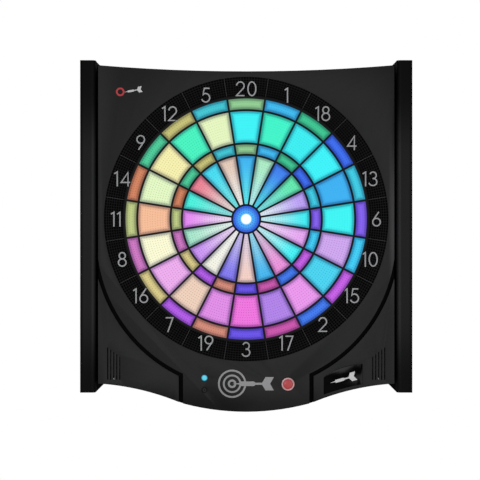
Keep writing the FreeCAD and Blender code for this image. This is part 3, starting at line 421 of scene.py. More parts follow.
@dataclass(frozen=True)
class MeshPlastic:
    """Plastic of the catch ring, with painted shade that makes it black inside its square cells.
    """

    name: str
    colour: str
    dark_depth: float = 0.7 * MM

    def make(self) -> bpy.types.Material:
        """Build the material.

        Returns:
            The material.
        """
        paint = Paint(self.name)
        x, y, z = paint.parts(paint.place())
        radius = (x * x + z * z) ** 0.5
        slope = (DISH_OUTER[1] - DISH_INNER[1]) / (DISH_OUTER[0] - DISH_INNER[0])
        depth = (radius - DISH_INNER[0]) * slope + DISH_INNER[1] + y
        # painted shade: the colour goes almost black deeper inside each cell
        sunk = depth.ramp(0.05 * MM, self.dark_depth)
        wear = paint.noise(25 * MM, 3.0) * 0.8 + 0.6
        return paint.dress(
            0.12, base_color=paint.scaled(self.colour, wear * (1.0 - sunk * 0.97)),
            roughness=0.55 + sunk * 0.4)


@dataclass(frozen=True)
class BrushedMetal:
    """Plated or bare metal with fine scratches."""

    name: str
    colour: str
    roughness: float = 0.35
    scratch: tuple[float, float, float] = (1, 1, 1)

    def make(self) -> bpy.types.Material:
        """Build the material.

        Returns:
            The material.
        """
        paint = Paint(self.name)
        base = linear(self.colour)
        lines = paint.noise(0.8 * MM, 3.0, self.scratch)
        spots = paint.noise(9 * MM, 2.0)
        return paint.dress(
            metallic=1.0, base_color=paint.blend(spots.ramp(0.35, 0.65), dimmed(base, 0.85), base),
            roughness=self.roughness + 0.2 * (lines - 0.5),
            normal=paint.relief(lines, 0.01 * MM))


@dataclass(frozen=True)
class ClearCoat:
    """Smooth plastic with a gloss layer, such as a printed window or a button cap."""

    name: str
    colour: str
    roughness: float = 0.12
    coat: float = 0.6
    shine: float = 0.5

    def make(self) -> bpy.types.Material:
        """Build the material.

        Returns:
            The material.
        """
        paint = Paint(self.name)
        base = linear(self.colour)
        wear = paint.noise(7 * MM, 4.0)
        return paint.dress(
            self.shine, coat_weight=self.coat,
            base_color=paint.blend(wear.ramp(0.3, 0.7), dimmed(base, 0.9), base),
            roughness=self.roughness + 0.12 * wear)


@dataclass(frozen=True)
class CircuitBoard:
    """Green board with copper tracks under the mask."""

    name: str = "board_mask"

    def make(self) -> bpy.types.Material:
        """Build the material.

        Returns:
            The material.
        """
        paint = Paint(self.name)
        cells = paint.node("ShaderNodeTexBrick", {"offset": 0.5}, {
            "Vector": paint.place(), "Scale": 1 / (18 * MM), "Mortar Size": 0.03})
        track = Signal(paint, cells.outputs["Fac"])
        return paint.dress(
            base_color=paint.blend(track, linear("0c3a20"), linear("1d6a3c")),
            roughness=0.3 + 0.15 * paint.noise(2 * MM),
            normal=paint.relief(track, 0.04 * MM))


@dataclass(frozen=True)
class GlowPlastic:
    """Translucent plastic lit evenly from behind, a little paler in its middle, with painted shade
    in its holes.
    """

    name: str
    middle: str
    edge: str
    centre: Point
    radius: float
    front: float

    def make(self) -> bpy.types.Material:
        """Build the material.

        Returns:
            The material.
        """
        paint = Paint(self.name)
        across, out, up = paint.parts(paint.place())
        from_middle = ((across - self.centre[0]) ** 2 + (up - self.centre[1]) ** 2) ** 0.5
        rim = (from_middle / self.radius).ramp(0.45, 1.0)
        glow = paint.blend(rim, linear(self.middle), linear(self.edge))
        # painted shade: the glow dimmer on faces sunk into the holes
        sunk = (out + self.front).ramp(0.2 * MM, 2 * MM)
        glow = paint.blend(sunk, glow, dimmed(linear(self.edge), 0.7))
        return paint.dress(emission_strength=1.0, emission_color=glow,
                           base_color=paint.blend(rim, dimmed(linear(self.middle), 0.15),
                                                  dimmed(linear(self.edge), 0.1)),
                           roughness=0.35 + 0.1 * paint.noise(MM))


@dataclass(frozen=True)
class BedGlow:
    """The four beds of one number, lit from behind in that number's colours, with painted shade in
    their holes.
    """

    number: Number
    board: "Board"

    def make(self) -> bpy.types.Material:
        """Build the material.

        Returns:
            The material.
        """
        paint = Paint(f"glow_{self.number.text}")
        _, _, ring_code, outer_code, wide_code, narrow_code = self.number.value
        sine, cosine = math.sin(self.number.angle), math.cos(self.number.angle)
        x, out, z = paint.parts(paint.place())
        radius = (x * x + z * z) ** 0.5
        along = x * sine + z * cosine
        across = x * cosine - z * sine
        side = along * math.sin(WEDGE / 2) - abs(across) * math.cos(WEDGE / 2)
        board = self.board
        edge = side - board.web / 2
        for web in board.webs:
            edge = edge.least(abs(radius - web) - board.web / 2)
        core = 1.0 - (1.0 - edge.ramp(0, 7 * MM)) * (radius.ramp(20 * MM, 90 * MM) * 0.8 + 0.2)
        inner = paint.blend((radius / board.triple_inner).ramp(0.2, 0.95),
                            linear(narrow_code), linear(wide_code))
        step = 0.1 * MM
        single = paint.blend(radius.ramp(board.triple_mid - step, board.triple_mid + step),
                             inner, linear(outer_code))
        ring = radius.ramp(board.double_inner - step, board.double_inner + step)
        triple = (abs(radius - board.triple_mid) - board.triple_half).ramp(step, -step)
        colour = paint.blend((ring + triple).least(1.0), single, linear(ring_code))
        pale = paint.blend(core * 0.02, colour, (1.0, 1.0, 1.0))
        lit = paint.blend(core, paint.tinted(colour, (0.42, 0.42, 0.5)), pale)
        # painted shade: the glow dimmer on faces sunk into the holes
        sunk = (out + board.bed_front).ramp(0.2 * MM, 2 * MM)
        glow = paint.blend(sunk, lit, paint.tinted(lit, (0.6, 0.6, 0.64)))
        return paint.dress(emission_strength=0.93, emission_color=glow,
                           base_color=paint.tinted(glow, (0.05, 0.05, 0.05)),
                           roughness=0.4 + 0.1 * paint.noise(MM))


class Finishes:
    """Every shared material of the cabinet, each made once."""

    def __init__(self) -> None:
        """Build the materials."""
        # the case and rail blacks carry painted highlights and painted shade
        self.case = CasePlastic("case_black", "202021", Shade.PANEL).make()
        # painted shade for the sunk faces round the catch ring
        self.groove = MouldedPlastic("groove_painted_shade_black", "060607", 0.7, shine=0.05).make()
        self.rail = CasePlastic("rail_black", "222223", Shade.RAIL, 0.6, 0.12).make()
        self.web = MouldedPlastic("web_black", "0b0b0c", 0.6, shine=0.2).make()
        self.ring = MeshPlastic("ring_black", "0e0e0f").make()
        self.ink, self.emblem, self.emblem_pale, self.emblem_red = (
            MouldedPlastic(name, colour, roughness, depth=0.01 * MM).make()
            for name, colour, roughness in (
                ("numeral_grey", "b6b7ba", 0.6), ("emblem_grey", "a8a8aa", 0.5),
                ("emblem_pale", "e8e8ea", 0.5), ("emblem_red", "d03a40", 0.5)))
        self.window = ClearCoat("window_gloss", "010101", 0.1, 0.0, 0.1).make()
        self.cap_red = ClearCoat("cap_red", "d84a50", 0.4, 0.1).make()
        self.rim_pink = ClearCoat("rim_plated", "e8b4b6", 0.3, 0.2).make()
        self.cap_dark = MouldedPlastic("cap_dark", "0a0a0b", 0.5, shine=0.15).make()
        self.icon = MouldedPlastic("icon_grey", "3c3c3f", 0.5).make()
        self.zinc = BrushedMetal("zinc_plate", "b9bbc0", 0.4, (1, 1, 12)).make()
        self.steel = BrushedMetal("spring_steel", "c8c9cc", 0.25).make()
        self.board = CircuitBoard().make()
        self.chip = MouldedPlastic("chip_black", "1c1c1e", 0.45).make()
        self.led = ClearCoat("led_white", "efedd8", 0.3, 0.2).make()
        self.silicone = MouldedPlastic("silicone_grey", "bdbdbd", 0.7, 2 * MM, 0.05 * MM).make()
        self.film = ClearCoat("film_sheet", "a9beb8", 0.2, 0.5).make()
        self.guide = ClearCoat("guide_sheet", "d6e3e6", 0.08, 0.5).make()
        self.sleeve = MouldedPlastic("lead_sleeve", "19191b", 0.5).make()


# ----------------------------------------------------------------------------- mesh helpers
def add_object(name: str, mesh: bpy.types.Mesh) -> bpy.types.Object:
    """Put a new object in the scene, at the origin.

    Args:
        name: Its name.
        mesh: Its mesh.

    Returns:
        The object.
    """
    made = bpy.data.objects.new(name, mesh)
    bpy.context.scene.collection.objects.link(made)
    return made


def finished(name: str, source: bpy.types.Object, flat: bool = True) -> bpy.types.Object:
    """Turn an object with modifiers into a plain mesh.

    Args:
        name: The new object's name.
        source: The object, which is removed.
        flat: Whether its faces are shaded flat; otherwise they keep their shading.

    Returns:
        The plain object.
    """
    graph = bpy.context.evaluated_depsgraph_get()
    mesh = bpy.data.meshes.new_from_object(source.evaluated_get(graph))
    mesh.name = name
    bpy.data.objects.remove(source)
    if flat:
        mesh.shade_flat()
    return add_object(name, mesh)


def dress(piece: bpy.types.Object, material: bpy.types.Material) -> None:
    """Give an object one material."""
    piece.data.materials.clear()
    piece.data.materials.append(material)


def keep(piece: bpy.types.Object, material: bpy.types.Material | None, slot: str,
         body: str = ROOT_BODY, *nodes: str) -> None:
    """Dress a finished piece and hand it to the frame.

    Args:
        piece: The object.
        material: What it is made of, or None where it already has its material.
        slot: The record's material slot; not used.
        body: The body that it moves with.
        nodes: The CAD nodes that it stands for.
    """
    if material:
        dress(piece, material)
    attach(piece, body)
    if nodes:
        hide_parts(*nodes)
    LOG.info("%s rides on %s, %d faces", piece.name, body, len(piece.data.polygons))


def merged_copy(node: str) -> bmesh.types.BMesh:
    """Copy a CAD node's mesh and join its corners.

    Args:
        node: The CAD node.

    Returns:
        The copy.
    """
    shell = bmesh.new()
    shell.from_mesh(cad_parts[node].data)
    bmesh.ops.remove_doubles(shell, verts=shell.verts, dist=WELD)
    return shell


def to_object(name: str, shell: bmesh.types.BMesh) -> bpy.types.Object:
    """Turn an edited mesh into an object.

    Args:
        name: The object's name.
        shell: The edited mesh, which is freed.

    Returns:
        The object.
    """
    mesh = bpy.data.meshes.new(name)
    shell.to_mesh(mesh)
    shell.free()
    return add_object(name, mesh)


def edged_copy(node: str, name: str, width: float) -> bpy.types.Object:
    """A copy of a CAD node with its sharp edges rounded.

    Args:
        node: The CAD node.
        name: The copy's name.
        width: Width of the rounding, in metres.

    Returns:
        The copy.
    """
    shell = merged_copy(node)
    bmesh.ops.dissolve_limit(shell, angle_limit=math.radians(0.5), verts=shell.verts,
                             edges=shell.edges)
    draft = to_object(f"{name}_draft", shell)
    draft.data.shade_smooth()
    rounding = draft.modifiers.new("rounding", "BEVEL")
    rounding.width = width
    rounding.segments = 2
    rounding.limit_method = "ANGLE"
    rounding.angle_limit = math.radians(40)
    rounding.harden_normals = True
    return finished(name, draft, flat=False)


def flat_shape(shell: bmesh.types.BMesh, points: Iterable[Point], front: float,
               thick: float) -> None:
    """Add a thin solid with a front-view outline.

    Args:
        shell: The mesh that it goes into.
        points: Corners at (x, z), anticlockwise from the front.
        front: Distance of its front face from the wall.
        thick: Its thickness.
    """
    faces = []
    for out in (front, front - thick):
        faces.append([shell.verts.new((x, -out, z)) for x, z in points])
    near, far = faces
    shell.faces.new(near)
    shell.faces.new(list(reversed(far)))
    for first, last in zip(range(len(near)), [*range(1, len(near)), 0]):
        shell.faces.new((near[last], near[first], far[first], far[last]))


def flat_ring(shell: bmesh.types.BMesh, centre: Point, outer: float, inner: float,
              front: float, thick: float, start: float = 0, sweep: float = math.tau) -> None:
    """Add a thin ring, or a part of one, that faces the player.

    Args:
        shell: The mesh that it goes into.
        centre: Its centre at (x, z).
        outer: Outer radius.
        inner: Inner radius.
        front: Distance of its front face from the wall.
        thick: Its thickness.
        start: Where a part ring starts, anticlockwise from +X.
        sweep: How far it goes.
    """
    steps = max(12, int(48 * sweep / math.tau))
    for step in range(steps):
        low, high = (start + sweep * place / steps for place in (step, step + 1))
        corners = [(outer, low), (outer, high), (inner, high), (inner, low)]
        flat_shape(shell, [(centre[0] + r * math.cos(a), centre[1] + r * math.sin(a))
                           for r, a in corners], front, thick)


def add_block(shell: bmesh.types.BMesh, corners: Iterable[Sequence[float]]) -> None:
    """Add a solid with six sides.

    Args:
        shell: The mesh that it goes into.
        corners: The four corners of one side in order, then those opposite them.
    """
    made = [shell.verts.new(corner) for corner in corners]
    for side in ((0, 1, 2, 3), (7, 6, 5, 4), (0, 4, 5, 1), (1, 5, 6, 2), (2, 6, 7, 3),
                 (3, 7, 4, 0)):
        shell.faces.new([made[place] for place in side])


def from_shell(name: str, shell: bmesh.types.BMesh) -> bpy.types.Object:
    """Turn an edited mesh into an object with its faces outwards.

    Args:
        name: The object's name.
        shell: The edited mesh, which is freed.

    Returns:
        The object.
    """
    bmesh.ops.remove_doubles(shell, verts=shell.verts, dist=WELD / 10)
    bmesh.ops.recalc_face_normals(shell, faces=shell.faces)
    return to_object(name, shell)


def turned(name: str, profile: Sequence[Point], centre: Point,
           steps: int = 64) -> bpy.types.Object:
    """A round piece whose axis points out of the wall.

    Args:
        name: The object's name.
        profile: Points at (radius, out) from the front of the axis round to its back.
        centre: The axis at (x, z).
        steps: Faces round the axis.

    Returns:
        The object.
    """
    shell = bmesh.new()
    rows = []
    for step in range(steps):
        angle = math.tau * step / steps
        rows.append([shell.verts.new((centre[0] + r * math.sin(angle), -out,
                                      centre[1] + r * math.cos(angle))) for r, out in profile])
    for row, following in zip(rows, [*rows[1:], rows[0]]):
        for place in range(len(profile) - 1):
            shell.faces.new((row[place], row[place + 1], following[place + 1], following[place]))
    bmesh.ops.remove_doubles(shell, verts=shell.verts, dist=WELD / 10)
    bmesh.ops.dissolve_degenerate(shell, edges=shell.edges, dist=WELD / 10)
    piece = from_shell(name, shell)
    piece.data.shade_smooth()
    piece.data.set_sharp_from_angle(angle=CREASE)
    return piece


# ------------------------------------------------------------------------- geometry trees
class GeometryTree(Sheet):
    """A Geometry Nodes tree with named inputs."""

    def __init__(self, name: str) -> None:
        """Start a tree that takes and gives geometry.

        Args:
            name: The tree's name.
        """
        super().__init__(bpy.data.node_groups.new(name, "GeometryNodeTree"))
        self.names: dict[str, str] = {}
        face = self.tree.interface
        face.new_socket("Geometry", in_out="OUTPUT", socket_type="NodeSocketGeometry")
        face.new_socket("Geometry", in_out="INPUT", socket_type="NodeSocketGeometry")
        self.start = self.tree.nodes.new("NodeGroupInput")
        self.end = self.tree.nodes.new("NodeGroupOutput")

    def size(self, name: str, kind: str = "NodeSocketFloat") -> bpy.types.NodeSocket:
        """Add a named input.

        Args:
            name: Its name.
            kind: Its type.

        Returns:
            Its socket inside the tree.
        """
        socket = self.tree.interface.new_socket(name, in_out="INPUT", socket_type=kind)
        self.names[name] = socket.identifier
        return self.start.outputs[name]

    def close(self, geometry: bpy.types.NodeSocket) -> None:
        """End the tree with real geometry and its material.

        Args:
            geometry: What the tree has made.
        """
        material = self.size("Material", "NodeSocketMaterial")
        real = self.node("GeometryNodeRealizeInstances", values={0: geometry})
        flat = self.node("GeometryNodeSetShadeSmooth", values={
            "Geometry": real.outputs[0], "Shade Smooth": False})
        painted = self.node("GeometryNodeSetMaterial", values={
            "Geometry": flat.outputs[0], "Material": material})
        self.tree.links.new(painted.outputs[0], self.end.inputs[0])

    def apply(self, name: str, draft: bpy.types.Object, **values: Any) -> bpy.types.Object:
        """Run the tree on an object.

        Args:
            name: The name of the result.
            draft: The object that it starts from, which is removed.
            values: A value for each named input.

        Returns:
            The result, as a plain mesh.
        """
        modifier = draft.modifiers.new(self.tree.name, "NODES")
        modifier.node_group = self.tree
        for key, value in values.items():
            modifier[self.names[key.replace("_", " ").title()]] = value
        return finished(name, draft)


def perforation_tree() -> GeometryTree:
    """The tree that sinks a hole into each face marked as drilled.

    Returns:
        A tree with the inputs Hole Radius, Hole Depth and Material. A hole has as many
        sides as its face has corners.
    """
    sheet = GeometryTree("perforation")
    hole_radius = sheet.size("Hole Radius")
    hole_depth = Signal(sheet, sheet.size("Hole Depth"))
    marked = sheet.node("GeometryNodeInputNamedAttribute", {"data_type": "BOOLEAN"},
                        {"Name": "drilled"}).outputs["Attribute"]
    parted = sheet.node("GeometryNodeSeparateGeometry", {"domain": "FACE"},
                        {"Geometry": sheet.start.outputs[0], "Selection": marked})
    loose = sheet.node("GeometryNodeSplitEdges", values={"Mesh": parted.outputs[0]})
    where = sheet.node("GeometryNodeInputPosition").outputs[0]
    face_middle = sheet.node("GeometryNodeFieldOnDomain",
                             {"data_type": "FLOAT_VECTOR", "domain": "FACE"}, {0: where})
    kept = sheet.node("GeometryNodeStoreNamedAttribute",
                      {"data_type": "FLOAT_VECTOR", "domain": "POINT"},
                      {"Geometry": loose.outputs[0], "Name": "middle",
                       "Value": face_middle.outputs[0]})
    lid = sheet.node("GeometryNodeExtrudeMesh", {"mode": "FACES"},
                     {"Mesh": kept.outputs[0], "Offset Scale": 0.0, "Individual": True})
    middle = sheet.node("GeometryNodeInputNamedAttribute", {"data_type": "FLOAT_VECTOR"},
                        {"Name": "middle"}).outputs["Attribute"]
    away = sheet.node("ShaderNodeVectorMath", {"operation": "SUBTRACT"}, {0: where, 1: middle})
    towards = sheet.node("ShaderNodeVectorMath", {"operation": "NORMALIZE"}, {0: away.outputs[0]})
    arm = sheet.node("ShaderNodeVectorMath", {"operation": "SCALE"},
                     {0: towards.outputs[0], "Scale": hole_radius})
    rim = sheet.node("ShaderNodeVectorMath", {"operation": "ADD"}, {0: middle, 1: arm.outputs[0]})
    shrunk = sheet.node("GeometryNodeSetPosition", values={
        "Geometry": lid.outputs["Mesh"], "Selection": lid.outputs["Top"],
        "Position": rim.outputs[0]})
    sunk = sheet.node("GeometryNodeExtrudeMesh", {"mode": "FACES"}, {
        "Mesh": shrunk.outputs[0], "Selection": lid.outputs["Top"],
        "Offset Scale": hole_depth * -1.0, "Individual": True})
    joined = sheet.node("GeometryNodeJoinGeometry")
    sheet.tree.links.new(sunk.outputs["Mesh"], joined.inputs[0])
    sheet.tree.links.new(parted.outputs[1], joined.inputs[0])
    welded = sheet.node("GeometryNodeMergeByDistance", values={
        "Geometry": joined.outputs[0], "Distance": 1e-6})
    bare = sheet.node("GeometryNodeRemoveAttribute", values={
        "Geometry": welded.outputs[0], "Name": "middle"})
    sheet.close(bare.outputs[0])
    return sheet


def screw_tree() -> GeometryTree:
    """The tree that puts a cross-slot screw head on each point of a mesh.

    Returns:
        A tree with the inputs Head Radius, Head Height and Material. A head stands on its
        point and narrows towards the wall.
    """
    sheet = GeometryTree("screw_heads")
    radius = Signal(sheet, sheet.size("Head Radius"))
    height = Signal(sheet, sheet.size("Head Height"))
    head = sheet.node("GeometryNodeMeshCone", {"fill_type": "NGON"}, {
        "Vertices": 32, "Side Segments": 2, "Radius Top": radius * 0.8,
        "Radius Bottom": radius, "Depth": height})
    cross = head
    for long, wide in ((1.1, 0.24), (0.24, 1.1)):
        size = sheet.node("ShaderNodeCombineXYZ", values={
            0: radius * long, 1: radius * wide, 2: height})
        bar = sheet.node("GeometryNodeMeshCube", values={"Size": size.outputs[0]})
        lift = sheet.node("ShaderNodeCombineXYZ", values={2: height})
        moved = sheet.node("GeometryNodeTransform", values={
            "Geometry": bar.outputs[0], "Translation": lift.outputs[0]})
        cross = sheet.node("GeometryNodeMeshBoolean", {"operation": "DIFFERENCE",
                                                       "solver": "EXACT"},
                           {0: cross.outputs[0], 1: moved.outputs[0]})
    turned_back = sheet.node("GeometryNodeTransform", values={
        "Geometry": cross.outputs[0], "Rotation": (math.radians(-90), 0, 0)})
    placed = sheet.node("GeometryNodeInstanceOnPoints", values={
        "Points": sheet.start.outputs[0], "Instance": turned_back.outputs[0]})
    sheet.close(placed.outputs[0])
    return sheet


# ---------------------------------------------------------------------------- scoring face
def polar(radius: float, angle: float) -> Point:
    """The point (x, z) at an angle clockwise from the top."""
    return radius * math.sin(angle), radius * math.cos(angle)


@dataclass(frozen=True)
class Board:
    """Sizes of the scoring face, in metres."""

    double_outer: float = 196.9 * MM
    double_inner: float = 177.9 * MM
    triple_outer: float = 123.6 * MM
    triple_inner: float = 105.0 * MM
    bull: float = 21.3 * MM
    inner_bull: float = 8.4 * MM
    web: float = 3.6 * MM
    bed_front: float = 47.2 * MM
    plate_back: float = 40.0 * MM
    chamfer: float = 0.4 * MM
    hole_pitch: float = 4.0 * MM
    hole_radius: float = 0.8 * MM
    hole_depth: float = 5.0 * MM
    hole_sides: int = 8

    @property
    def webs(self) -> tuple[float, ...]:
        """Radii of the round webs' middles."""
        half = self.web / 2
        return (self.double_outer + half, self.double_inner, self.triple_outer,
                self.triple_inner, self.bull + half)

    @property
    def triple_mid(self) -> float:
        """Radius of the triple's middle."""
        return (self.triple_outer + self.triple_inner) / 2

    @property
    def triple_half(self) -> float:
        """Half of the triple's width, webs included."""
        return (self.triple_outer - self.triple_inner) / 2

    @property
    def steps(self) -> tuple[Point, ...]:
        """How a plate's edge runs back: how far in it is, and how far out."""
        return ((self.chamfer, self.bed_front), (0, self.bed_front - self.chamfer),
                (0, self.plate_back))


@dataclass(frozen=True)
class Bed:
    """One bed between two webs of a wedge."""

    low: float
    high: float
    side: float
    angle: float

    def half_angle(self, radius: float, inset: float = 0) -> float:
        """Angle from the bed's middle to its side."""
        return WEDGE / 2 - math.asin((self.side + inset) / radius)

    def outline(self, inset: float) -> list[list[Point]]:
        """Its edge.

        Args:
            inset: How far the edge is moved in.

        Returns:
            One loop of points.
        """
        points = []
        for radius, sign in ((self.high - inset, 1), (self.low + inset, -1)):
            half = self.half_angle(radius, inset)
            count = max(4, math.ceil(2 * half * radius / (3 * MM)))
            points.extend(polar(radius, self.angle + sign * half * (2 * step / count - 1))
                          for step in range(count + 1))
        return [points]

    def holes(self, pitch: float) -> list[Point]:
        """The holes, in rows round the bull.

        Args:
            pitch: Their distance from each other.

        Returns:
            Radius and angle of each hole.
        """
        margin = pitch * 0.62
        rows = max(1, round((self.high - self.low - 2 * margin) / pitch))
        places = []
        for row in range(rows + 1):
            radius = self.low + margin + (self.high - self.low - 2 * margin) * row / rows
            room = WEDGE / 2 * radius - self.side - margin
            if room < 0:
                if room > -0.35 * pitch:
                    places.append((radius, self.angle))
                continue
            half = self.half_angle(radius, margin)
            count = max(1, round(2 * half * radius / pitch))
            places.extend((radius, self.angle + half * (2 * step / count - 1))
                          for step in range(count + 1))
        return places


def add_plate(shell: bmesh.types.BMesh, outline: Callable[[float], list[list[Point]]],
              holes: Iterable[Point], board: Board) -> None:
    """Add a closed plate whose front has a flat seat for each hole.

    Args:
        shell: The mesh that it goes into.
        outline: Gives the plate's loops for an inset, the outer one first.
        holes: Radius and angle of each hole.
        board: The sizes.
    """
    layers = shell.faces.layers.bool
    drilled = layers.get("drilled") or layers.new("drilled")
    (inset, front), *later = board.steps
    loops = outline(inset)
    seat = (board.hole_radius + board.hole_pitch / 2) / 2
    rings = []
    for radius, angle in holes:
        x, z = polar(radius, angle)
        rings.append([(x + dx, z + dz) for dx, dz in (
            polar(seat, angle + math.tau * (side + 0.5) / board.hole_sides)
            for side in range(board.hole_sides))])
    points: list[Vector] = []
    faces: list[list[int]] = []
    for loop in (*loops, *rings):
        faces.append(list(range(len(points), len(points) + len(loop))))
        points.extend(Vector(point) / MM for point in loop)
    anticlockwise = [face[::-1] for face in faces]
    places, _, cells, sources, _, owners = delaunay_2d_cdt(points, [], anticlockwise, 1, 1e-4)
    corners = [shell.verts.new((x * MM, -front, z * MM)) for x, z in places]
    found = {source: corners[place] for place, group in enumerate(sources) for source in group}
    for cell, owner in zip(cells, owners):
        if list(owner) == [0]:
            shell.faces.new([corners[place] for place in cell])
    for face in faces[len(loops):]:
        shell.faces.new([found[place] for place in face])[drilled] = True
    rows = [[found[place] for place in face] for face in faces[:len(loops)]]
    for inset, out in later:
        following = [[shell.verts.new((x, -out, z)) for x, z in loop] for loop in outline(inset)]
        for row, new_row in zip(rows, following):
            add_band(shell, row, new_row)
        rows = following
    if len(rows) == 1:
        shell.faces.new(rows[0])
    else:
        add_band(shell, *rows)


def add_band(shell: bmesh.types.BMesh, first: list[bmesh.types.BMVert],
             second: list[bmesh.types.BMVert]) -> None:
    """Join two closed rows of corners with faces.

    Args:
        shell: The mesh that they are in.
        first: One row.
        second: The other, with as many corners.
    """
    for place in range(len(first)):
        before = place - 1
        shell.faces.new((first[before], first[place], second[place], second[before]))


def add_rest(shell: bmesh.types.BMesh, node: str, out: float, behind: bool = True) -> None:
    """Add the part of a CAD node on one side of a plane parallel to the wall.

    Args:
        shell: The mesh that it goes into.
        node: The CAD node.
        out: The plane's distance from the wall.
        behind: Whether the part nearer to the wall is kept.
    """
    way = -1 if behind else 1
    section = -out - way * LAP
    rest = merged_copy(node)
    bmesh.ops.bisect_plane(rest, geom=[*rest.verts, *rest.edges, *rest.faces], dist=WELD / 10,
                           plane_co=(0, section, 0), plane_no=(0, way, 0), clear_outer=True)
    bmesh.ops.triangle_fill(rest, use_beauty=True, normal=(0, way, 0),
                            edges=[edge for edge in rest.edges if edge.is_boundary])
    for vert in rest.verts:
        if abs(vert.co.y - section) < WELD:
            vert.co.y = -out
    mesh = bpy.data.meshes.new(f"{node}_rest")
    rest.to_mesh(mesh)
    rest.free()
    shell.from_mesh(mesh)
    bpy.data.meshes.remove(mesh)


def circle(radius: float, count: int = 48) -> list[Point]:
    """Points round the bull."""
    return [polar(radius, math.tau * step / count) for step in range(count)]


@dataclass
class ScoringFace:
    """The 80 lit beds, the two bulls and the black spider between them."""

    finishes: Finishes
    perforation: GeometryTree
    board: Board = field(default_factory=Board)

    def build(self) -> None:
        """Make every bed and dress the spider."""
        for number in Number:
            self.make_beds(number)
        self.make_bulls()
        dress(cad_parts["spider"], self.finishes.web)

    def drill(self, name: str, shell: bmesh.types.BMesh, node: str,
              material: bpy.types.Material) -> bpy.types.Object:
        """Finish a shell with seats: add its back and sink the holes.

        Args:
            name: The piece's name.
            shell: Its mesh with the seats.
            node: The CAD node that gives the back.
            material: What it is made of.

        Returns:
            The piece.
        """
        add_rest(shell, node, self.board.plate_back + LAP / 2)
        return self.perforation.apply(name, from_shell(f"{name}_draft", shell),
                                      hole_radius=self.board.hole_radius,
                                      hole_depth=self.board.hole_depth, material=material)

    def make_beds(self, number: Number) -> None:
        """Make the double, both singles and the triple of one number.

        Args:
            number: The number.
        """
        board, half = self.board, self.board.web / 2
        limits = ((board.double_inner + half, board.double_outer),
                  (board.triple_outer + half, board.double_inner - half),
                  (board.triple_inner + half, board.triple_outer - half),
                  (board.bull + board.web, board.triple_inner - half))
        shell = bmesh.new()
        for low, high in limits:
            bed = Bed(low, high, half, number.angle)
            add_plate(shell, bed.outline, bed.holes(board.hole_pitch), board)
        node = f"segments_{number.text}"
        material = BedGlow(number, board).make()
        keep(self.drill(f"beds_{number.text}", shell, node, material), None,
             f"bed_{number.text}", node, node)

    def make_bulls(self) -> None:
        """Make the ring of the outer bull and the disc of the inner bull."""
        board = self.board
        inner_edge = board.inner_bull + 0.5 * MM
        shell = bmesh.new()
        holes = [(radius, math.tau * step / count)
                 for radius, count in ((11.5 * MM, 18), (15.1 * MM, 24), (18.7 * MM, 29))
                 for step in range(count)]
        add_plate(shell, lambda inset: [circle(board.bull - inset), circle(inner_edge + inset)],
                  holes, board)
        blue = GlowPlastic("glow_bull", "3aa8f4", "0c4fd0", (0, 0), board.bull,
                           board.bed_front).make()
        keep(self.drill("outer_bull_bed", shell, "outer_bull", blue), None, "bull_blue",
             "outer_bull", "outer_bull")
        shell = bmesh.new()
        holes = [(0, 0), *((3.6 * MM, math.tau * step / 6) for step in range(6))]
        add_plate(shell, lambda inset: [circle(board.inner_bull - inset, 32)], holes, board)
        white = GlowPlastic("glow_inner_bull", "ffffff", "bfe6fb", (0, 0),
                            board.inner_bull * 1.2, board.bed_front).make()
        keep(self.drill("inner_bull_bed", shell, "inner_bull", white), None, "bull_white",
             "inner_bull", "inner_bull")


# ----------------------------------------------------------------------------- number ring
def arc(x: float, z: float, across: float, up: float, start: float, end: float) -> list[Point]:
    """Points on an arc.

    Args:
        x: Its middle, across.
        z: Its middle, up.
        across: Half of its width.
        up: Half of its height.
        start: Where it starts, in degrees anticlockwise from +X.
        end: Where it ends.

    Returns:
        The points.
    """
    steps = max(6, int(abs(end - start) / 9))
    turns = [math.radians(start + (end - start) * step / steps) for step in range(steps + 1)]
    return [(x + across * math.cos(turn), z + up * math.sin(turn)) for turn in turns]


@dataclass(frozen=True)
class Glyph:
    """One digit of the thin numerals, drawn as strokes in shares of its height."""

    width: float
    strokes: tuple[list[Point], ...]


GLYPHS = {
    "0": Glyph(0.62, (arc(0.31, 0.5, 0.26, 0.45, 0, 360),)),
    "1": Glyph(0.24, ([(0.0, 0.83), (0.19, 0.95), (0.19, 0.0)],)),
    "2": Glyph(0.6, ([*arc(0.3, 0.69, 0.25, 0.26, 175, -38), (0.04, 0.05), (0.58, 0.05)],)),
    "3": Glyph(0.58, (arc(0.28, 0.73, 0.21, 0.22, 160, -95),
                      arc(0.27, 0.29, 0.26, 0.24, 95, -165))),
    "4": Glyph(0.64, ([(0.5, 0.0), (0.5, 0.92), (0.05, 0.26), (0.64, 0.26)],)),
    "5": Glyph(0.58, ([(0.53, 0.95), (0.18, 0.95), (0.1, 0.53),
                       *arc(0.27, 0.33, 0.27, 0.28, 120, -160)],)),
    "6": Glyph(0.6, (arc(0.3, 0.3, 0.25, 0.25, 0, 360), [(0.45, 0.98), (0.08, 0.43)])),
    "7": Glyph(0.56, ([(0.02, 0.95), (0.5, 0.95), (0.16, 0.0)],)),
    "8": Glyph(0.58, (arc(0.29, 0.74, 0.2, 0.21, 0, 360), arc(0.29, 0.29, 0.25, 0.24, 0, 360))),
    "9": Glyph(0.6, (arc(0.3, 0.7, 0.25, 0.25, 0, 360), [(0.15, 0.02), (0.52, 0.57)])),
}


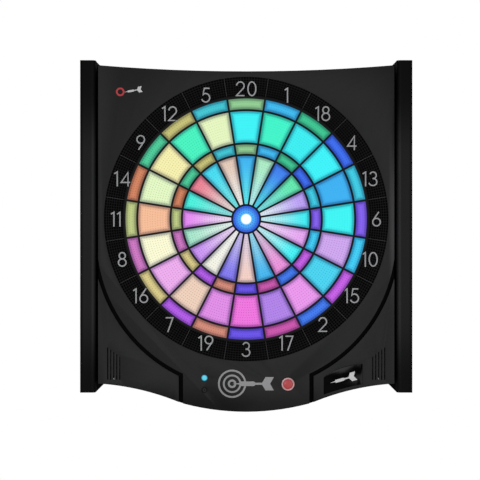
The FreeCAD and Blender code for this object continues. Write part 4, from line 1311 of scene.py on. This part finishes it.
def add_stroke(shell: bmesh.types.BMesh, points: list[Vector], width: float, lift: float,
               put: Callable[[Vector, float], Vector]) -> None:
    """Add a raised line of one width.

    Args:
        shell: The mesh that it goes into.
        points: Its middle line; it closes if its ends meet.
        width: Its width.
        lift: How far it stands up.
        put: Turns a flat point and a height into a place in space.
    """
    closed = (points[0] - points[-1]).length < 1e-6
    if closed:
        points = points[:-1]
    rows = []
    for place, point in enumerate(points):
        before = points[place - 1] if place or closed else None
        after = points[(place + 1) % len(points)] if place + 1 < len(points) or closed else None
        ways = [way.normalized() for way in (
            point - before if before else None, after - point if after else None) if way]
        along = sum(ways, Vector((0, 0))).normalized()
        side = Vector((-along.y, along.x)) * width / 2 / max(0.45, along.dot(ways[0]))
        rows.append([shell.verts.new(put(spot, height)) for spot, height in (
            (point - side, lift), (point + side, lift), (point + side, -0.1 * MM),
            (point - side, -0.1 * MM))])
    for first, second in zip(rows, rows[1:] + rows[:1] if closed else rows[1:]):
        add_band(shell, first, second)
    if not closed:
        shell.faces.new(rows[0])
        shell.faces.new(rows[-1])


@dataclass
class NumberRing:
    """The black catch ring round the beds, with its square mesh and its numbers."""

    finishes: Finishes
    perforation: GeometryTree
    rim: float = 236.0 * MM
    hub: float = 206.0 * MM
    rim_back: float = 50.3 * MM
    thick: float = 2.5 * MM
    hub_back: float = 42.1 * MM
    columns: int = 320
    rows: int = 8
    cell_radius: float = 2.25 * MM
    cell_depth: float = 1.6 * MM
    line_ends: Point = (202.0 * MM, 231.5 * MM)
    numeral_height: float = 24.5 * MM
    numeral_radius: float = 212.5 * MM
    stroke: float = 2.1 * MM
    digit_gap: float = 0.16

    def build(self) -> None:
        """Make the ring, its thin division lines and its numerals."""
        self.make_ring()
        self.make_lines()
        for number in Number:
            self.make_numeral(number)

    def dish(self, radius: float) -> float:
        """How far out the dished face is at a radius."""
        (low, near), (high, far) = DISH_INNER, DISH_OUTER
        return near + (far - near) * (radius - low) / (high - low)

    def make_ring(self) -> None:
        """Make the ring with a drilled cell in each square of its dish."""
        low, high = DISH_INNER[0] + 0.8 * MM, DISH_OUTER[0] - 0.4 * MM
        radii = [low + (high - low) * row / self.rows for row in range(self.rows + 1)]
        hub_top = self.dish(self.hub) - self.thick
        profile = [DISH_INNER, *((radius, self.dish(radius)) for radius in radii),
                   DISH_OUTER, (self.rim, DISH_OUTER[1]), (self.rim, self.rim_back),
                   (self.hub, hub_top), (self.hub, self.hub_back),
                   (DISH_INNER[0], self.hub_back)]
        shell = bmesh.new()
        drilled = shell.faces.layers.bool.new("drilled")
        columns = [[shell.verts.new((x, -out, z)) for (x, z), out in (
            (polar(radius, math.tau * step / self.columns), out) for radius, out in profile)]
            for step in range(self.columns)]
        for place, column in enumerate(columns):
            before = columns[place - 1]
            for row in range(len(profile)):
                face = shell.faces.new((before[row - 1], before[row], column[row],
                                        column[row - 1]))
                face[drilled] = 2 <= row <= self.rows + 1
        add_rest(shell, "number_ring", self.hub_back + LAP / 2)
        ring = self.perforation.apply("number_ring_mesh", from_shell("ring_draft", shell),
                                      hole_radius=self.cell_radius,
                                      hole_depth=self.cell_depth,
                                      material=self.finishes.ring)
        keep(ring, None, "case_black", ROOT_BODY, "number_ring")

    def make_lines(self) -> None:
        """Make the thin raised lines between the numbers."""
        shell = bmesh.new()
        half = 0.3 * MM
        for number in Number:
            angle = number.angle + WEDGE / 2
            side = Vector((math.cos(angle), -math.sin(angle)))
            near, far = (Vector(polar(radius, angle)) for radius in self.line_ends)
            corners = []
            for out in (0.15 * MM, -0.3 * MM):
                for point, sign in ((near, -1), (near, 1), (far, 1), (far, -1)):
                    spot = point + side * half * sign
                    corners.append((spot.x, -self.dish(point.length) - out, spot.y))
            add_block(shell, corners)
        keep(from_shell("division_lines", shell), self.finishes.icon, "case_black")

    def make_numeral(self, number: Number) -> None:
        """Make one upright number on the ring.

        Args:
            number: The number.
        """
        shell = bmesh.new()
        tall = self.numeral_height
        x, z = polar(self.numeral_radius, number.angle)
        wide = sum(GLYPHS[digit].width for digit in number.text)
        wide += self.digit_gap * (len(number.text) - 1)
        left = x - wide * tall / 2

        def on_dish(point: Vector, lift: float) -> Vector:
            """Put a point of a stroke on the sloped face.

            Args:
                point: The point, in shares of the numeral's height.
                lift: How far it stands up.

            Returns:
                Its place.
            """
            spot = Vector((left, z - tall / 2)) + point * tall
            return Vector((spot.x, -self.dish(spot.length) - lift, spot.y))

        for digit in number.text:
            glyph = GLYPHS[digit]
            for place, stroke in enumerate(glyph.strokes):
                add_stroke(shell, [Vector(point) for point in stroke], self.stroke / tall,
                           0.3 * MM + 0.02 * MM * place, on_dish)
            left += (glyph.width + self.digit_gap) * tall
        keep(from_shell(f"numeral_{number.text}", shell), self.finishes.ink, "case_black")


# --------------------------------------------------------------------------------- housing
@dataclass
class Housing:
    """The moulded case, its covers and pillars, and the marks on its front."""

    finishes: Finishes
    face: float = 56.0 * MM
    relief: float = 0.25 * MM
    recess_edge: float = 232.5 * MM
    panel_edge: float = 242.0 * MM
    # how far out the sunk faces lie that get painted shade
    groove_outs: Point = (46.0 * MM, 55.3 * MM)

    def build(self) -> None:
        """Make the case and its marks."""
        case, rail = self.finishes.case, self.finishes.rail
        self.copy("front_bezel", 0.5 * MM, case, "case_black")
        self.copy("rear_cover", 0.5 * MM, case, "case_black")
        for side in ("left", "right"):
            self.copy(f"{side}_corner_cover", 0.5 * MM, case, "case_black")
            self.copy(f"{side}_pillar", 0.3 * MM, rail, "rail_black")
            self.copy(f"{side}_top_cap", 0.4 * MM, rail, "cap_black")
            self.copy(f"{side}_bottom_cap", 0.4 * MM, rail, "cap_black")
        self.copy("label_window", 0.25 * MM, self.finishes.window, "window_black")
        self.make_pictogram()
        self.make_chin_emblem()
        self.make_corner_emblem()

    def copy(self, node: str, width: float, material: bpy.types.Material, slot: str) -> None:
        """Keep an edged copy of a CAD node in its place, with painted shade on its sunk faces
        round the catch ring.

        Args:
            node: The CAD node.
            width: Width of its rounded edges.
            material: What it is made of.
            slot: The record's material slot.
        """
        piece = edged_copy(node, f"{node}_shell", width)
        dress(piece, material)
        # painted shade: a blacker material on the sunk faces outside the catch ring
        piece.data.materials.append(self.finishes.groove)
        deep, shallow = self.groove_outs
        for face in piece.data.polygons:
            middle = face.center
            sunk = deep < -middle.y < shallow and abs(middle.x) < self.panel_edge
            if (sunk and math.hypot(middle.x, middle.z) > self.recess_edge
                    and "cap" not in node):
                face.material_index = 1
        keep(piece, None, slot, ROOT_BODY, node)

    def make_pictogram(self) -> None:
        """Make the small dart on the label window."""
        low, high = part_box("label_window")
        centre = ((low[0] + high[0]) / 2, (low[2] + high[2]) / 2)
        shell = bmesh.new()
        add_dart(shell, centre, 44 * MM, math.radians(16), -low[1] + 0.1 * MM)
        keep(from_shell("window_dart", shell), self.finishes.emblem_pale, "window_black")

    def make_chin_emblem(self) -> None:
        """Make the target rings and the dart low on the front."""
        shell = bmesh.new()
        height = -268 * MM
        for outer, inner in ((23, 20), (15, 12), (7, 3.6)):
            flat_ring(shell, (-23 * MM, height), outer * MM, inner * MM, self.face, self.relief)
        add_dart(shell, (11 * MM, height), 68 * MM, 0, self.face + 0.05 * MM)
        keep(from_shell("chin_emblem", shell), self.finishes.emblem, "case_black")

    def make_corner_emblem(self) -> None:
        """Make the small dart and ring at the top left."""
        shell = bmesh.new()
        add_dart(shell, (-184 * MM, 209 * MM), 30 * MM, math.radians(10), self.face)
        keep(from_shell("corner_dart", shell), self.finishes.emblem_pale, "case_black")
        shell = bmesh.new()
        flat_ring(shell, (-205 * MM, 207 * MM), 7 * MM, 4.2 * MM, self.face, self.relief)
        keep(from_shell("corner_ring", shell), self.finishes.emblem_red, "case_black")


def add_dart(shell: bmesh.types.BMesh, centre: Point, length: float, angle: float,
             front: float) -> None:
    """Add a flat dart that points left.

    Args:
        shell: The mesh that it goes into.
        centre: Its middle at (x, z).
        length: From point to flight.
        angle: How far it is turned, anticlockwise.
        front: Distance of its face from the wall.
    """
    outline = [(-0.5, 0), (-0.3, -0.02), (-0.3, -0.055), (0.02, -0.055), (0.06, -0.025),
               (0.22, -0.025), (0.3, -0.16), (0.5, -0.16), (0.41, 0), (0.5, 0.16),
               (0.3, 0.16), (0.22, 0.025), (0.06, 0.025), (0.02, 0.055), (-0.3, 0.055),
               (-0.3, 0.02)]
    sine, cosine = math.sin(angle) * length, math.cos(angle) * length
    flat_shape(shell, [(centre[0] + x * cosine - z * sine, centre[1] + x * sine + z * cosine)
                       for x, z in outline], front, 0.25 * MM)


# -------------------------------------------------------------------------------- controls
@dataclass
class Controls:
    """The start button, the power button and the status light."""

    finishes: Finishes
    start: Point = (68.0 * MM, -268.6 * MM)
    power: Point = (-68.0 * MM, -278.2 * MM)
    light: Point = (-68.0 * MM, -258.5 * MM)
    start_radius: float = 7.7 * MM
    start_front: float = 58.9 * MM
    start_travel: float = 2.0 * MM
    sign_front: float = 57.0 * MM
    sign_relief: float = 0.2 * MM

    def build(self) -> None:
        """Make every control."""
        self.make_start_button()
        self.make_spring()
        self.make_power_button()
        self.make_status_light()

    def make_start_button(self) -> None:
        """Make the domed red cap and its plated ring."""
        ring = edged_copy("start_button_ring", "start_ring", 0.5 * MM)
        keep(ring, self.finishes.rim_pink, "ring_silver", ROOT_BODY, "start_button_ring")
        shell = bmesh.new()
        radius, front = self.start_radius, self.start_front
        back = front - 1.3 * MM
        add_rest(shell, "start_button", back + LAP)
        stem = from_shell("cap_back", shell)
        dome = turned("start_cap", [(0, front), (radius * 0.4, front - 0.1 * MM),
                                    (radius * 0.7, front - 0.35 * MM),
                                    (radius * 0.9, front - 0.75 * MM), (radius, back),
                                    (0, back)], self.start)
        keep(joined("start_button_cap", dome, stem), self.finishes.cap_red, "button_red",
             "start_button", "start_button")

    def make_spring(self) -> None:
        """Make the coil spring with a mesh of its own; the real spring shortens as the start
        button goes in.
        """
        spring = edged_copy("start_button_spring", "start_spring", 0.02 * MM)
        keep(spring, self.finishes.steel, "spring_steel", ROOT_BODY, "start_button_spring")
        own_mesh(spring)

    def make_power_button(self) -> None:
        """Make the small button and its power sign."""
        cap = edged_copy("power_button", "power_cap", 0.3 * MM)
        keep(cap, self.finishes.cap_dark, "case_black", "power_button", "power_button")
        shell = bmesh.new()
        flat_ring(shell, self.power, 2.5 * MM, 1.9 * MM, self.sign_front, self.sign_relief,
                  math.radians(125), math.radians(290))
        x, z = self.power
        half = 0.3 * MM
        flat_shape(shell, [(x - half, z + MM), (x + half, z + MM), (x + half, z + 3 * MM),
                           (x - half, z + 3 * MM)], self.sign_front, self.sign_relief)
        keep(from_shell("power_sign", shell), self.finishes.icon, "case_black", "power_button")

    def make_status_light(self) -> None:
        """Make the small lit lens."""
        lens = edged_copy("status_light", "status_lens", 0.5 * MM)
        glow = GlowPlastic("lens_cyan", "4fc8dc", "15527c", self.light, 5.6 * MM, 56.5 * MM)
        keep(lens, glow.make(), "lens_cyan", ROOT_BODY, "status_light")


def joined(name: str, *pieces: bpy.types.Object) -> bpy.types.Object:
    """Make one object of several.

    Args:
        name: Its name.
        pieces: The objects, which are removed.

    Returns:
        The object.
    """
    shell = bmesh.new()
    for piece in pieces:
        shell.from_mesh(piece.data)
        bpy.data.objects.remove(piece)
    whole = to_object(name, shell)
    whole.data.set_sharp_from_angle(angle=CREASE)
    return whole


# ------------------------------------------------------------------- back and inner pieces
@dataclass
class Fixings:
    """The screws, the wall bracket and the pieces inside the case."""

    finishes: Finishes
    head_back: float = 0.2 * MM
    head_front: float = 2.2 * MM
    head_radius: float = 2.8 * MM
    head_places: tuple[Point, ...] = (
        *((x * MM, z * MM) for x in (-235.5, 235.5) for z in (-200, -120, 120, 200)),
        (-100 * MM, 234 * MM), (100 * MM, 234 * MM), (-50 * MM, -302 * MM), (50 * MM, -302 * MM))

    def build(self) -> None:
        """Make the screws and dress every other node."""
        self.make_housing_screws()
        bracket = edged_copy("wall_bracket", "bracket_plate", 0.3 * MM)
        kit = self.finishes
        keep(bracket, kit.zinc, "zinc_steel", ROOT_BODY, "wall_bracket")
        chips = ("main_board_parts", "button_board_parts", "right_speaker", "left_speaker",
                 "dc_inlet")
        for material, nodes in (
                (kit.silicone, ("return_mat",)), (kit.guide, ("light_guide",)),
                (kit.film, ("sensor_membrane", "matrix_ribbon")), (kit.chip, chips),
                (kit.board, ("led_board", "main_board", "button_board")),
                (kit.led, ("leds",)), (kit.web, ("backing_plate",)),
                (kit.sleeve, ("internal_leads",)),
                (kit.zinc, ("target_screws", "corner_screws", "board_screws"))):
            for node in nodes:
                dress(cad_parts[node], material)

    def make_housing_screws(self) -> None:
        """Make the twelve rear screws: their shanks, and heads with a cross slot."""
        shell = bmesh.new()
        add_rest(shell, "housing_screws", self.head_front, behind=False)
        keep(from_shell("screw_shanks", shell), self.finishes.zinc, "zinc_steel", ROOT_BODY,
             "housing_screws")
        mesh = bpy.data.meshes.new("screw_points")
        mesh.from_pydata([(x, -self.head_front, z) for x, z in self.head_places], [], [])
        heads = screw_tree().apply("screw_heads", add_object("screw_points", mesh),
                                   head_radius=self.head_radius,
                                   head_height=self.head_front - self.head_back,
                                   material=self.finishes.zinc)
        keep(heads, None, "zinc_steel")


# ---------------------------------------------------------------------------------- studio
@dataclass
class Studio:
    """The floor, the lights, the background and the camera."""

    camera_place: tuple[float, float, float] = (-0.0101, -3.0, -0.0341)
    lens: float = 135.7
    sensor: float = 36.0
    floor_top: float = -0.55

    def build(self) -> None:
        """Set the scene."""
        self.make_floor()
        self.make_world()
        self.make_light("key", (-0.8, -2.2, 0.1), 1.0, 16)
        self.make_light("fill", (1.0, -2.1, -0.2), 1.2, 13)
        self.make_light("back", (0.2, 1.2, 1.4), 0.9, 10)
        self.make_camera()

    def make_floor(self) -> None:
        """Make a plain pale floor under the cabinet."""
        shell = bmesh.new()
        add_block(shell, [(x, y, z) for z in (self.floor_top, self.floor_top - 10 * MM)
                          for x, y in ((-1, -1.2), (1, -1.2), (1, 0.3), (-1, 0.3))])
        floor = from_shell("floor", shell)
        dress(floor, MouldedPlastic("floor_pale", "e6e6e4", 0.8, 3 * MM).make())

    def make_world(self) -> None:
        """Make a white background that lights the cabinet only a little."""
        world = bpy.data.worlds.new("studio")
        world.use_nodes = True
        bpy.context.scene.world = world
        sheet = Sheet(world.node_tree)
        seen = Signal(sheet, sheet.node("ShaderNodeLightPath").outputs["Is Camera Ray"])
        shown = world.node_tree.nodes["Background"]
        sheet.feed(shown.inputs["Color"], (1.0, 1.0, 1.0))
        sheet.feed(shown.inputs["Strength"], seen * 0.93 + 0.07)

    def make_light(self, name: str, place: tuple[float, float, float], size: float,
                   power: float) -> None:
        """Add a soft lamp that faces the cabinet.

        Args:
            name: Its name.
            place: Where it is.
            size: Its side.
            power: Its power in watts.
        """
        data = bpy.data.lights.new(name, "AREA")
        data.size = size
        data.energy = power
        lamp = bpy.data.objects.new(name, data)
        lamp.location = place
        lamp.rotation_euler = (-Vector(place)).to_track_quat("-Z", "Y").to_euler()
        bpy.context.scene.collection.objects.link(lamp)

    def make_camera(self) -> None:
        """Add the camera straight in front."""
        data = bpy.data.cameras.new("camera")
        data.sensor_width = self.sensor
        data.lens = self.lens
        camera = bpy.data.objects.new("camera", data)
        camera.location = self.camera_place
        camera.rotation_euler = (math.radians(90), 0, 0)
        scene = bpy.context.scene
        scene.collection.objects.link(camera)
        scene.camera = camera
        scene.view_settings.view_transform = "Standard"


def main() -> None:
    """Build the cabinet and its studio."""
    logging.basicConfig(level=logging.INFO, format="%(message)s")
    finishes = Finishes()
    perforation = perforation_tree()
    ScoringFace(finishes, perforation).build()
    NumberRing(finishes, perforation).build()
    Housing(finishes).build()
    Controls(finishes).build()
    Fixings(finishes).build()
    Studio().build()


if __name__ == "__main__":
    main()
